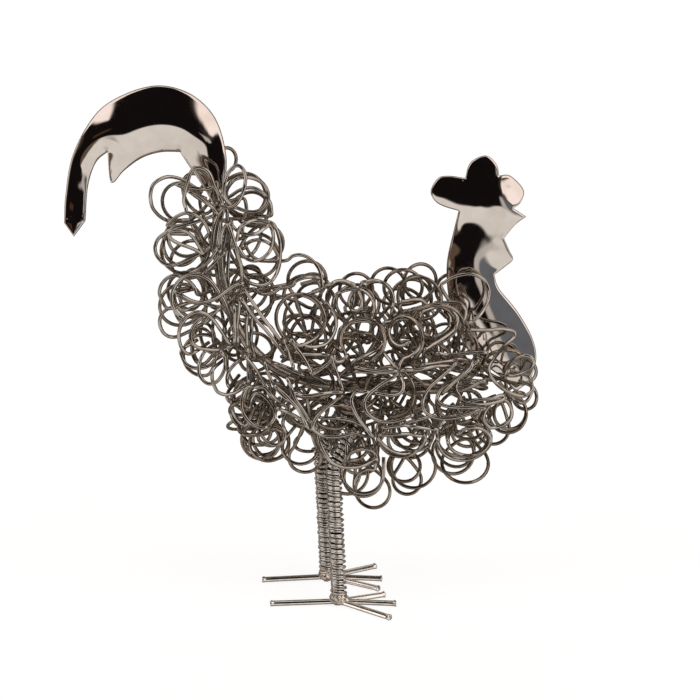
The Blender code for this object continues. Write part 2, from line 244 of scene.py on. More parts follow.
def eased(start, leave, stop, arrive, t):
    """A place on the smooth curve from start to stop that leaves and arrives as told."""
    return (start * (2 * t ** 3 - 3 * t ** 2 + 1) + leave * (t ** 3 - 2 * t ** 2 + t)
            + stop * (3 * t ** 2 - 2 * t ** 3) + arrive * (t ** 3 - t ** 2))


def cut_line(outline):
    """The edge of a plate as closely spaced points, rounded except at its corners."""
    line = []
    for index, (x, z, corner) in enumerate(outline):
        before = in_plane(*outline[index - 1][:2])
        start = in_plane(x, z)
        next_x, next_z, next_corner = outline[(index + 1) % len(outline)]
        stop = in_plane(next_x, next_z)
        after = in_plane(*outline[(index + 2) % len(outline)][:2])
        leave = 0.5 * (stop - (start if corner else before))
        arrive = 0.5 * ((stop if next_corner else after) - start)
        steps = max(2, round((stop - start).length / EDGE_STEP))
        line += [eased(start, leave, stop, arrive, step / steps) for step in range(steps)]
    return line


def nearest_on_line(place, line):
    """The point of a line of points that is nearest to a place."""
    nearest = line[0]
    for start, stop in zip(line, line[1:]):
        foot, share = intersect_point_line(place, start, stop)
        foot = start if share < 0.0 else stop if share > 1.0 else foot
        if (place - foot).length < (place - nearest).length:
            nearest = foot
    return nearest


def edge_depths(places, line):
    """How far in from the edge each place is: exactly, and evened out over the whole edge."""
    starts = numpy.array([(point.x, point.z) for point in line]) / MM
    spans = numpy.roll(starts, -1, axis=0) - starts
    lengths = numpy.hypot(*spans.T)
    middles = starts + 0.5 * spans
    exact, even = [], []
    for first in range(0, len(places), AT_ONCE):
        some = places[first:first + AT_ONCE, None, :]
        share = ((some - starts) * spans).sum(axis=2) / lengths ** 2
        feet = starts + numpy.clip(share, 0.0, 1.0)[:, :, None] * spans
        exact.append(numpy.sqrt(((some - feet) ** 2).sum(axis=2)).min(axis=1))
        gaps = numpy.maximum(((some - middles) ** 2).sum(axis=2), 1e-4)
        even.append(numpy.sqrt(2.0 / (lengths / gaps ** 1.5).sum(axis=1)))
    return numpy.concatenate(exact), numpy.concatenate(even)


def hammered(places, tips):
    """How far back a sheet lies at each place when it is struck to its tips.  The last tip's
    point stays where it is."""
    points = numpy.array([tip[:2] for tip in tips])
    slopes = numpy.tan(numpy.radians([tip[2:] for tip in tips]))
    away = points[:, None, :] - points[None, :, :]
    gap = numpy.sqrt((away ** 2).sum(axis=2) + SPRING)
    stiff = (gap[:, :, None, None] * numpy.eye(2)
             + away[:, :, :, None] * away[:, :, None, :] / gap[:, :, None, None])
    for index in range(len(tips)):
        stiff[index, index] -= GIVE * numpy.eye(2)
    stiff = stiff.transpose(0, 2, 1, 3).reshape(2 * len(tips), 2 * len(tips))
    pull = numpy.linalg.lstsq(stiff, slopes.reshape(-1), rcond=1e-6)[0].reshape(-1, 2)
    places = numpy.vstack([places, points[-1]])
    back = numpy.zeros(len(places))
    for point, force in zip(points, pull):
        away = places - point
        back += numpy.sqrt((away ** 2).sum(axis=1) + SPRING) * (away @ force)
    return back[:-1] - back[-1]


def finished(name, build):
    """An object in its place, from the mesh that was built."""
    mesh = bpy.data.meshes.new(name)
    build.to_mesh(mesh)
    build.free()
    mesh.shade_smooth()
    piece = bpy.data.objects.new(name, mesh)
    bpy.context.scene.collection.objects.link(piece)
    return piece


def dished_plate(name, outline, slope, tips, softer=(), grooves=()):
    """A plate dished on both sides, then bent to its tips.

    It rises from its edge at slope, and evens out towards its middle.  softer makes part of
    it flatter (middle, radius, share) and grooves are (start, stop, width, depth), all in
    millimetres.
    """
    line = cut_line(outline)
    build = bmesh.new()
    face = build.faces.new([build.verts.new(point) for point in line])
    edge = set(build.verts)
    face.normal_update()
    inset_by = 0.0
    for inset in RIM_STEPS:
        bmesh.ops.inset_region(build, faces=[face], thickness=inset * MM, use_boundary=True,
                               use_even_offset=False)
        # Points that have crossed over each other in a sharp corner are merged
        inset_by += inset
        ring = list(face.verts)
        depths = edge_depths(numpy.array([(vert.co.x, vert.co.z) for vert in ring]) / MM, line)[0]
        clear = [index for index, depth in enumerate(depths) if depth > CROSSED * inset_by]
        crossed = {}
        for index, depth in enumerate(depths):
            if depth <= CROSSED * inset_by:
                near = min(clear, key=lambda other: min((other - index) % len(ring),
                                                        (index - other) % len(ring)))
                crossed[ring[index]] = ring[near]
        bmesh.ops.weld_verts(build, targetmap=crossed)
        face = max(build.faces, key=lambda part: part.calc_area())
    # The flat inside is cut into small cells, each way in turn
    inside = [face, *face.edges, *face.verts]
    for axis in (Vector((1.0, 0.0, 0.0)), Vector((0.0, 0.0, 1.0))):
        low = min(point.dot(axis) for point in line)
        cells = round((max(point.dot(axis) for point in line) - low) / CELL)
        for cell in range(1, cells):
            cut = bmesh.ops.bisect_plane(build, geom=inside, dist=SNAP, plane_no=axis,
                                         plane_co=axis * (low + cell * CELL))
            inside = cut["geom"]
    bmesh.ops.remove_doubles(build, verts=[v for v in build.verts if v not in edge], dist=MERGE)
    bmesh.ops.triangulate(build, faces=build.faces[:])
    places = numpy.array([(vert.co.x, vert.co.z) for vert in build.verts]) / MM
    exact, even = edge_depths(places, line)
    height = slope * even
    for middle, radius, share in softer:
        nearness = numpy.exp(-((places - middle) ** 2).sum(axis=1) / radius ** 2)
        height *= 1.0 - (1.0 - share) * nearness
    for start, stop, width, depth in grooves:
        start, span = numpy.array(start), numpy.array(stop) - start
        share = numpy.clip((places - start) @ span / (span @ span), 0.0, 1.0)
        away = ((places - start - share[:, None] * span) ** 2).sum(axis=1)
        height -= depth * numpy.exp(-away / width ** 2) * numpy.minimum(exact / FADE, 1.0)
    share = numpy.minimum(exact / ROUNDING_REACH, 1.0)
    height = (numpy.maximum(height, -DEEPEST) + RIM
              + ROUNDING * numpy.sqrt(1.0 - (1.0 - share) ** 2))
    for vert, rise in zip(build.verts, height):
        vert.co.y = -rise * MM
    back = bmesh.ops.extrude_face_region(build, geom=build.faces[:], use_keep_orig=True)
    for vert in back["geom"]:
        if isinstance(vert, bmesh.types.BMVert):
            vert.co.y *= -1.0
    places = numpy.array([(vert.co.x, vert.co.z) for vert in build.verts]) / MM
    for vert, bend in zip(build.verts, hammered(places, tips)):
        vert.co.y += bend * MM
    bmesh.ops.recalc_face_normals(build, faces=build.faces[:])
    return finished(name, build)


def nickel(name, colour, tarnish, roughness, rough_spread, scratch, patch_size):
    """A nickel finish: its colour varies to tarnish in patches, smears vary its roughness by
    rough_spread, and fine polishing lines are scratch deep, in millimetres as patch_size is."""
    metal = bpy.data.materials.new(name)
    metal.use_nodes = True
    nodes = metal.node_tree.nodes
    links = metal.node_tree.links
    shader = nodes["Principled BSDF"]
    shader.inputs["Metallic"].default_value = 1.0
    place = nodes.new("ShaderNodeTexCoord")

    def grain(scale, detail):
        """Noise that stays in its place on the metal."""
        node = nodes.new("ShaderNodeTexNoise")
        node.inputs["Scale"].default_value = scale
        node.inputs["Detail"].default_value = detail
        links.new(place.outputs["Object"], node.inputs["Vector"])
        return node.outputs["Fac"]

    tone = nodes.new("ShaderNodeValToRGB")
    for stop, position, shade in zip(tone.color_ramp.elements, PATCH_STOPS, (tarnish, colour)):
        stop.position = position
        stop.color = (*shade, 1.0)
    links.new(grain(1.0 / (patch_size * MM), 4.0), tone.inputs["Fac"])
    links.new(tone.outputs["Color"], shader.inputs["Base Color"])
    gloss = nodes.new("ShaderNodeMapRange")
    for socket, value in zip(("From Min", "From Max", "To Min", "To Max"),
                             (*SMEAR_STOPS, roughness, roughness + rough_spread)):
        gloss.inputs[socket].default_value = value
    links.new(grain(SMEARS / (patch_size * MM), 5.0), gloss.inputs["Value"])
    links.new(gloss.outputs["Result"], shader.inputs["Roughness"])
    bump = nodes.new("ShaderNodeBump")
    bump.inputs["Strength"].default_value = 1.0
    bump.inputs["Distance"].default_value = scratch * MM
    links.new(grain(1.0 / (LINE_WIDTH * MM), 3.0), bump.inputs["Height"])
    links.new(bump.outputs["Normal"], shader.inputs["Normal"])
    return metal


plate_metal = nickel("polished_nickel", (0.70, 0.66, 0.63), (0.62, 0.57, 0.53),
                     0.03, 0.03, 0.0006, 9.0)

TAIL_SLOPE = 0.33                                        # how steeply it rises from its edge
TAIL_FLAT = [((-85.0, 199.0), 7.0, 0.0)]                 # the barb
TAIL_GROOVES = [((-108.0, 178.0), (-98.0, 177.0), 0.6, 0.07)]    # across the tip
# Where the sheet was struck: x and z, then how far it tips to the right and up, in degrees
TAIL_TIPS = [
    (-85.5, 203.5, 1, -7), (-86.0, 198.0, 1, -9), (-86.2, 195.8, 0, -8), (-81.5, 201.5, 0, -7),
    (-84.5, 208.0, 0, -2), (-103.0, 182.0, 0, 4), (-103.0, 178.0, 0, 10), (-103.2, 173.5, 0, 13),
    (-103.0, 190.0, 0, 0), (-35.5, 206.0, -8, 0), (-36.0, 197.0, -10, 0), (-40.0, 215.0, -2, 0),
    (-45.0, 225.0, 0, 0), (-50.0, 215.0, 0, 0), (-44.0, 203.0, 0, 0), (-60.0, 230.0, 0, 0),
    (-75.0, 225.0, 0, 0), (-90.0, 215.0, 0, 0), (-100.0, 200.0, 0, 0), (-72.0, 210.0, 0, 0),
    (-60.0, 213.0, 0, 0), (-38.0, 188.0, -8, 0), (-38.0, 209.0, -20, 0), (-38.5, 204.0, -20, 1),
    (-40.5, 201.0, -16, 1), (-37.0, 199.5, -22, 1), (-39.5, 196.0, -18, 1), (-38.0, 191.0, -20, 1),
    (-101.0, 196.0, -2, 1), (-98.0, 189.0, -14, 1), (-98.2, 184.0, -14, 1), (-98.4, 179.0, -14, 3),
]
tail = dished_plate("tail_feather_plate", TAIL_OUTLINE, TAIL_SLOPE, TAIL_TIPS, TAIL_FLAT,
                    TAIL_GROOVES)
tail.data.materials.append(plate_metal)
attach(tail, "root")
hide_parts("tail_plate")


# ---------------------------------------------------------------- head plate
# Comb, head, beak, wattle, neck and breast in one piece of the same polished sheet.  It is
# flat but for its rolled edge and the dents of the hammer, which round its neck, beak and
# breast towards their sides.  It is welded to the front of the spine rod.

HEAD_OUTLINE = [
    (58.5, 190.3, False), (61.8, 195.9, False), (67.0, 196.9, False),
    (74.0, 195.9, True), (76.4, 203.0, False), (83.4, 206.0, False),
    (88.2, 202.0, False), (89.3, 197.0, True), (94.5, 196.8, False),
    (100.6, 190.4, False), (99.2, 184.6, False), (95.9, 182.3, True),
    (101.9, 178.3, True), (97.0, 174.6, False), (92.0, 168.4, True),
    (94.6, 162.6, False), (96.3, 158.6, False), (93.0, 155.4, False),
    (87.9, 151.4, True), (90.2, 145.0, False), (98.5, 134.7, False),
    (105.5, 122.6, False), (107.8, 112.4, False), (105.2, 101.8, True),
    (98.4, 96.6, True), (91.8, 103.6, True), (76.2, 116.2, False),
    (70.8, 128.0, False), (67.0, 141.5, False), (66.3, 157.0, False),
    (69.4, 173.0, False), (71.2, 181.0, True), (63.9, 183.2, False),
    (60.0, 186.0, False),
]

HEAD_TIPS = [
    (60.5, 190.0, -1, 0), (66.0, 193.5, 0, 1), (66.0, 188.0, 0, 0), (72.0, 191.0, 0, 0),
    (63.0, 185.5, 0, -6), (73.0, 185.5, 0, -1), (79.0, 203.0, -1, 2), (87.0, 202.0, -2, 2),
    (82.0, 197.0, 0, 0), (89.0, 197.0, -2, 1), (80.0, 190.0, 0, 0), (87.0, 191.5, -1, 0),
    (82.0, 185.0, 0, 0), (88.0, 186.0, 2, 0), (94.0, 194.5, 15, 11), (99.0, 190.5, 14, 10),
    (92.5, 190.0, 17, 10), (94.5, 185.5, 15, 9), (73.0, 180.5, 0, -6), (80.0, 181.0, 0, -6),
    (87.0, 180.5, 1, -6), (94.0, 179.0, 1, -6), (99.5, 178.5, 1, -6), (86.5, 174.5, 2, -6),
    (92.0, 172.0, 2, -6), (90.0, 166.5, 2, -7), (93.0, 160.0, 2, -8), (89.5, 155.5, 2, -8),
    (87.0, 160.5, 3, -6), (75.0, 174.0, -2, 1), (80.0, 171.0, 0, 1), (85.5, 171.0, 1, -4),
    (84.0, 166.0, 2, -1), (73.5, 165.5, -5, 1), (77.5, 160.0, 0, 1), (76.5, 153.0, -1, 1),
    (69.8, 168.0, -20, 1), (68.3, 157.0, -33, 1), (69.0, 147.0, -27, -1), (73.5, 144.0, -9, 0),
    (78.5, 144.0, -3, 0), (73.5, 149.0, -10, 1.5), (82.5, 150.0, 5, 0), (87.0, 140.0, 8, 1),
    (93.5, 127.0, 8, 1), (79.5, 135.0, -4, -1), (92.5, 143.0, 12, 2), (98.5, 132.0, 13, 2),
    (104.0, 119.5, 13, 2), (103.0, 109.0, 10, 1.0), (76.0, 133.0, -12, -2), (80.0, 124.0, -12, -4),
    (98.0, 102.0, 0, -6), (84.0, 113.0, -10, -4),
]
head = dished_plate("head_plate_polished", HEAD_OUTLINE, 0.0, HEAD_TIPS)
head.data.materials.append(plate_metal)
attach(head, "root")
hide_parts("head_plate")


# ---------------------------------------------------------------- spine
# One round rod, bent from the tail plate's stem down the tail and along the body to the
# head plate, and welded to both.  It is plated but left dull.

SPINE_RADIUS = 2.4 * MM
SPINE_ROUTE = [(-37.9, 184.2), (-38.2, 165.0), (-35.5, 143.0), (-26.0, 121.0), (-10.0, 106.5),
               (10.0, 100.5), (32.0, 98.5), (56.0, 98.0), (70.0, 100.0), (83.5, 111.1)]


def smooth_route(knots, steps):
    """Points of a curve that passes through every knot, with steps points to each stretch."""
    ends = [2.0 * knots[0] - knots[1]] + knots + [2.0 * knots[-1] - knots[-2]]
    route = []
    for before, start, stop, after in zip(ends, ends[1:], ends[2:], ends[3:]):
        for step in range(steps):
            t = step / steps
            route.append(0.5 * (2.0 * start + (stop - before) * t
                                + (2.0 * before - 5.0 * start + 4.0 * stop - after) * t * t
                                + (3.0 * start - before - 3.0 * stop + after) * t ** 3))
    return route + [knots[-1]]


def drawn_wire(name, routes, radius, resolution):
    """Round wire along each line of points, as one piece."""
    curve = bpy.data.curves.new(name, "CURVE")
    curve.dimensions = "3D"
    curve.bevel_depth = radius
    curve.bevel_resolution = resolution
    curve.use_fill_caps = True
    for route in routes:
        spline = curve.splines.new("POLY")
        spline.points.add(len(route) - 1)
        spline.points.foreach_set("co", [value for point in route for value in (*point, 1.0)])
        spline.use_smooth = True
    wire = bpy.data.objects.new(name, curve)
    bpy.context.scene.collection.objects.link(wire)
    return wire


rod_metal = nickel("dull_nickel_rod", (0.50, 0.46, 0.42), (0.36, 0.31, 0.26),
                   0.16, 0.16, 0.004, 5.0)
spine_route = smooth_route([in_plane(x, z) for x, z in SPINE_ROUTE], 8)
spine = drawn_wire("spine_rod", [spine_route], SPINE_RADIUS, 4)
spine.data.materials.append(rod_metal)
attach(spine, "root")
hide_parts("spine")


# ---------------------------------------------------------------- ringed wire
# Bright round wire, bent into one ring after another and wound round the spine in
# wreaths.  Every ring leans its own way, and the rings pinch in where they pass the spine.
# The rings are drawn in a darker copy of the wire's nickel: painted shade for the depth of the
# tangle.

WIRE_RADIUS = 0.85 * MM
RING_STEP = math.radians(11.0)    # between points of the wire round a ring
PASSING = math.radians(50.0)      # each side of a ring's inner point, where it passes on
PASS_PULL = (0.9, 0.8)            # how wide a pass swings, in shares of its span and the radius
RING_RADII = (8.3, 10.4)          # the smallest and largest, in millimetres
ROD_GAP = 3.5                     # a ring's inner side stays this far from its wreath's middle
UNEVEN = 2.5                      # how far rings lie in from their wreath's outside, at most
LAYER_GAP = 17.0                  # the inner layer lies this much further in,
SLIM, SLIM_GAP = 30.0, 3.0        # or this far from the middle where a wreath is slimmer
SLACK = 4.0                       # how far a ring may slip along past the others
JITTER = 0.25                     # how unevenly rings are spaced, as a share of their spacing
ROOM = 0.45                       # a loose ring takes the place of rings this close, likewise
LEAN = 20.0                       # how far rings lean, in degrees
NEAR_LIMIT = -0.3                 # the near side is left open to the near wires from here,
BREAST_LIMIT = 0.15               # or from here high on the breast,
BREAST = 60.0                     # which starts at this x
WIRE_ENDS = 270.0                 # a wreath's wire starts and ends here, on its far side
WRAPPED_LEG = 3.9 * MM            # radius of a leg with its wrapping

# Each wreath: CAD node, its middle (x, z), its reach forward or up, back or down and
# sideways, and the rings in its outer and inner layer
TAIL_WREATHS = [
    ("coil_tail_1", -38.0, 185.8, 24.0, 32.0, 24.0, 9, 3),
    ("coil_tail_2", -38.0, 163.2, 31.0, 29.5, 28.0, 12, 5),
    ("coil_tail_3", -37.5, 140.6, 28.0, 29.0, 31.0, 13, 6),
    ("coil_tail_4", -33.5, 118.0, 24.0, 24.0, 33.0, 13, 7),
]
BODY_WREATHS = [
    ("coil_rump", -20.9, 85.0, 20.9, 21.5, 29.0, 15, 8),
    ("coil_back_1", 2.4, 105.0, 47.5, 47.5, 38.0, 23, 16),
    ("coil_back_2", 25.7, 100.2, 54.0, 57.0, 40.0, 25, 18),
    ("coil_back_3", 49.0, 102.3, 54.0, 53.0, 40.0, 25, 18),
    ("coil_breast_1", 72.3, 100.0, 45.0, 45.5, 37.0, 21, 13),
    ("coil_breast_2", 95.6, 99.4, 27.5, 28.0, 25.0, 8, 2),
]

# Rings that show on their own, where they were pushed out of the tangle: x, z and y of the
# middle, outer radius, and how far the ring is turned and tipped out of the bird's plane
LOOSE_RINGS = [
    (-29.4, 107.8, 6, 10.4, 51, 0), (-19.6, 93.1, -9, 9.3, 34, 0), (-24.4, 86.2, 5, 9.8, 0, 13),
    (-21.4, 79.3, -2, 8.0, 13, 0), (-14.4, 76.6, -5, 6.9, 0, 35), (-0.7, 73.1, -10, 9.2, 0, 35),
    (1.0, 64.0, 6, 8.4, 0, 14), (-34.3, 203.3, 6, 6.4, 38, 0), (-22.8, 180.6, 8, 8.7, 5, 0),
    (-16.9, 165.2, 6, 9.2, 7, 0), (2.5, 149.8, -5, 9.6, 8, 0), (5.0, 142.6, 8, 8.9, 9, 0),
    (-0.2, 134.5, -20, 12.3, 14, 0), (18.3, 140.2, 3, 7.9, 9, 0), (24.8, 143.1, 8, 8.6, 9, 0),
    (27.4, 141.0, -10, 6.4, 9, 0), (34.7, 142.2, -5, 7.8, 9, 0), (39.5, 145.4, 8, 8.8, 8, 0),
    (46.2, 146.1, -2, 9.6, 0, 16), (52.5, 142.0, 12, 8.0, 9, 0), (54.1, 147.9, 4, 8.8, 20, 0),
    (69.1, 142.8, 10, 8.4, 9, 0), (27.8, 126.1, -26, 10.7, 0, 27), (46.8, 127.0, -26, 10.9, 42, 0),
    (61.0, 131.8, -20, 12.6, 0, 30), (58.9, 132.4, -16, 10.8, 0, 32),
    (100.4, 107.5, -4, 7.8, 0, 44), (102.8, 94.2, 3, 7.1, 32, 0), (96.5, 85.3, 7, 8.6, 12, 0),
    (89.7, 88.9, -9, 7.3, 0, 16), (88.7, 77.9, 8, 8.4, 0, 15), (73.4, 78.5, -17, 12.3, 0, 33),
    (75.8, 77.6, -15, 10.0, 0, 49), (75.2, 64.1, -4, 11.6, 0, 46), (45.2, 79.5, -17, 10.9, 0, 40),
    (47.0, 62.6, -4, 8.3, 0, 31), (48.7, 53.4, 6, 7.5, 0, 15), (28.0, 58.9, -10, 9.7, 0, 12),
    (32.5, 50.4, -2, 9.1, 14, 0), (27.7, 68.4, -14, 8.0, 0, 54), (39.9, 102.8, -28, 12.3, 19, 0),
    (16.1, 90.6, -25, 10.8, 0, 44),
]

# The near and the far leg, which the rings are kept clear of
LEG_ROUTES = [[Vector(point) * MM for point in knots] for knots in (
    ((17, -19.3, 5), (14.6, -16.6, 60), (15.2, -15.8, 66.5), (18.4, -13.2, 72.5),
     (29.6, -4.1, 93.6)),
    ((11.2, 19.3, 5), (8.8, 16.6, 60), (9.4, 15.8, 66.5), (12.6, 13.2, 72.5), (23, 4.1, 94)),
)]
ROD_LINES = [(spine_route, SPINE_RADIUS + WIRE_RADIUS)]
ROD_LINES += [(route, WRAPPED_LEG + WIRE_RADIUS) for route in LEG_ROUTES]


def clear_of_rods(point):
    """A point of the wire, moved off any rod that it would run into."""
    for line, clearance in ROD_LINES:
        nearest = nearest_on_line(point, line)
        away = point - nearest
        if away.length < clearance:
            point = nearest + away.normalized() * clearance
    return point


def leaning_ring(chance, centre, outward, along, radius):
    """One ring: its middle, the two directions it lies in, and its radius."""
    across = outward.cross(along)
    turn = (Matrix.Rotation(math.radians(chance.gauss(0.0, LEAN)), 3, along)
            @ Matrix.Rotation(math.radians(chance.gauss(0.0, 0.6 * LEAN)), 3, outward)
            @ Matrix.Rotation(math.radians(chance.gauss(0.0, 0.8 * LEAN)), 3, across))
    return centre, turn @ outward, turn @ along, radius


def wound_rings(rings):
    """The wire's route through ring after ring, passing on from each at its inner side."""
    sweep = 2.0 * math.pi - 2.0 * PASSING
    steps = round(sweep / RING_STEP)
    route = []
    for centre, outward, along, radius in rings:
        arc = []
        for step in range(steps + 1):
            swing = PASSING + sweep * step / steps
            arc.append(centre - outward * (radius * math.cos(swing))
                       + along * (radius * math.sin(swing)))
        if route:
            # A smooth pass from the last ring's end to this ring's start
            leave = (route[-1] - route[-2]).normalized()
            arrive = (arc[1] - arc[0]).normalized()
            start, stop = route[-1], arc[0]
            span = (stop - start).length
            pull = max(span * PASS_PULL[0], PASS_PULL[1] * radius)
            count = max(4, round(span / (radius * RING_STEP)))
            route += [eased(start, leave * pull, stop, arrive * pull, step / count)
                      for step in range(1, count)]
        route.extend(arc)
    return [clear_of_rods(point) for point in route]


def wreath_route(middle, reach_out, reach_back, reach_aside, half_width, counts, axis, outward,
                 loose, chance):
    """The route of one wreath's wire, with the loose rings that belong to it in their places."""
    side = axis.cross(outward)
    entries = []
    for x, z, y, outer_radius, turned, tipped in loose:
        centre = Vector((x, y, z)) * MM
        away = centre - middle
        angle = math.degrees(math.atan2(away.dot(side), away.dot(outward))) % 360.0
        lies = (Matrix.Rotation(math.radians(turned * chance.choice((-1, 1))), 3, "Z")
                @ Matrix.Rotation(math.radians(tipped * chance.choice((-1, 1))), 3, "X"))
        normal = lies @ Vector((0.0, -1.0, 0.0))
        inward = away - normal * away.dot(normal)
        inward.normalize()
        along = normal.cross(inward)
        if along.dot(axis) < 0.0:
            along = -along
        entries.append((angle, (centre, inward, along, outer_radius * MM - WIRE_RADIUS)))
    taken = [angle for angle, ring in entries]
    spacing = 360.0 / counts[0]
    phase = chance.uniform(0.0, spacing)
    for inner_layer, count in zip((False, True), counts):
        for index in range(count):
            angle = (phase + 360.0 * (index + chance.uniform(-JITTER, JITTER)) / count) % 360.0
            if not inner_layer and any(min(abs(angle - other), 360.0 - abs(angle - other))
                                       < ROOM * spacing for other in taken):
                continue
            turn = math.radians(angle)
            reach = (reach_out if math.cos(turn) > 0.0 else reach_back) * MM
            outer = 1.0 / math.hypot(math.cos(turn) / reach, math.sin(turn) / (reach_aside * MM))
            radius = chance.uniform(*RING_RADII) * MM
            radius = min(radius, 0.5 * (outer - ROD_GAP * MM))
            place = outer - radius - WIRE_RADIUS - chance.uniform(0.0, UNEVEN) * MM
            if inner_layer and outer > SLIM * MM:
                place = max(radius + ROD_GAP * MM, place - LAYER_GAP * MM)
            elif inner_layer:
                place = radius + SLIM_GAP * MM
            radial = outward * math.cos(turn) + side * math.sin(turn)
            limit = BREAST_LIMIT if middle.x > BREAST * MM and radial.z > 0.0 else NEAR_LIMIT
            if radial.y < limit and (axis.z or not inner_layer):
                continue
            slack = max(0.0, half_width * MM - radius - WIRE_RADIUS) + SLACK * MM
            centre = middle + radial * place + axis * chance.uniform(-slack, slack)
            entries.append((angle, leaning_ring(chance, centre, radial, axis, radius)))
    entries.sort(key=lambda entry: (entry[0] - WIRE_ENDS) % 360.0)
    return wound_rings([ring for angle, ring in entries])


wire_metal = nickel("bright_nickel_wire", (0.50, 0.48, 0.445), (0.34, 0.30, 0.255),
                    0.05, 0.05, 0.0002, 6.0)
# A darker copy of the wire's nickel for the rings of the tangle: painted shade for its depth, where
# the plain wire came out too light
painted_shade_wire_metal = nickel("nickel_wire_painted_shade", (0.37, 0.33, 0.28), (0.22, 0.175, 0.135),
                    0.08, 0.06, 0.0002, 6.0)

# Each loose ring belongs to the nearest wreath.  It is off the tail if it is too far forward
# or too low for it, and off the body if it is too far back.
TAIL_HALF, BODY_HALF = 11.0, 11.4       # about half the distance between wreaths
FAR_OFF = 5.0
loose_of = {}
for ring in LOOSE_RINGS:
    x, z = ring[:2]
    off_tail = FAR_OFF if x > 5.0 or z < 106.0 else 0.0
    off_body = FAR_OFF if x < -31.0 or (x < -8.0 and z > 107.0) else 0.0
    gaps = [(abs(z - wreath[2]) / TAIL_HALF + off_tail, wreath[0]) for wreath in TAIL_WREATHS]
    gaps += [(abs(x - wreath[1]) / BODY_HALF + off_body, wreath[0]) for wreath in BODY_WREATHS]
    loose_of.setdefault(min(gaps, key=lambda gap: gap[0])[1], []).append(ring)

FORWARD = Vector((1.0, 0.0, 0.0))
UPWARD = Vector((0.0, 0.0, 1.0))
SEED_STEP = 7
for wreaths, axis, outward, half_width, first_seed in (
        (TAIL_WREATHS, -UPWARD, FORWARD, 11.5, 41), (BODY_WREATHS, FORWARD, UPWARD, 12.0, 141)):
    for order, (node, x, z, *reaches, outer_count, inner_count) in enumerate(wreaths):
        chance = random.Random(first_seed + SEED_STEP * order)
        route = wreath_route(in_plane(x, z), *reaches, half_width, (outer_count, inner_count),
                             axis, outward, loose_of.get(node, []), chance)
        rings = drawn_wire(node.replace("coil", "rings"), [route], WIRE_RADIUS, 2)
        rings.data.materials.append(painted_shade_wire_metal)
        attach(rings, "root")
        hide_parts(node)


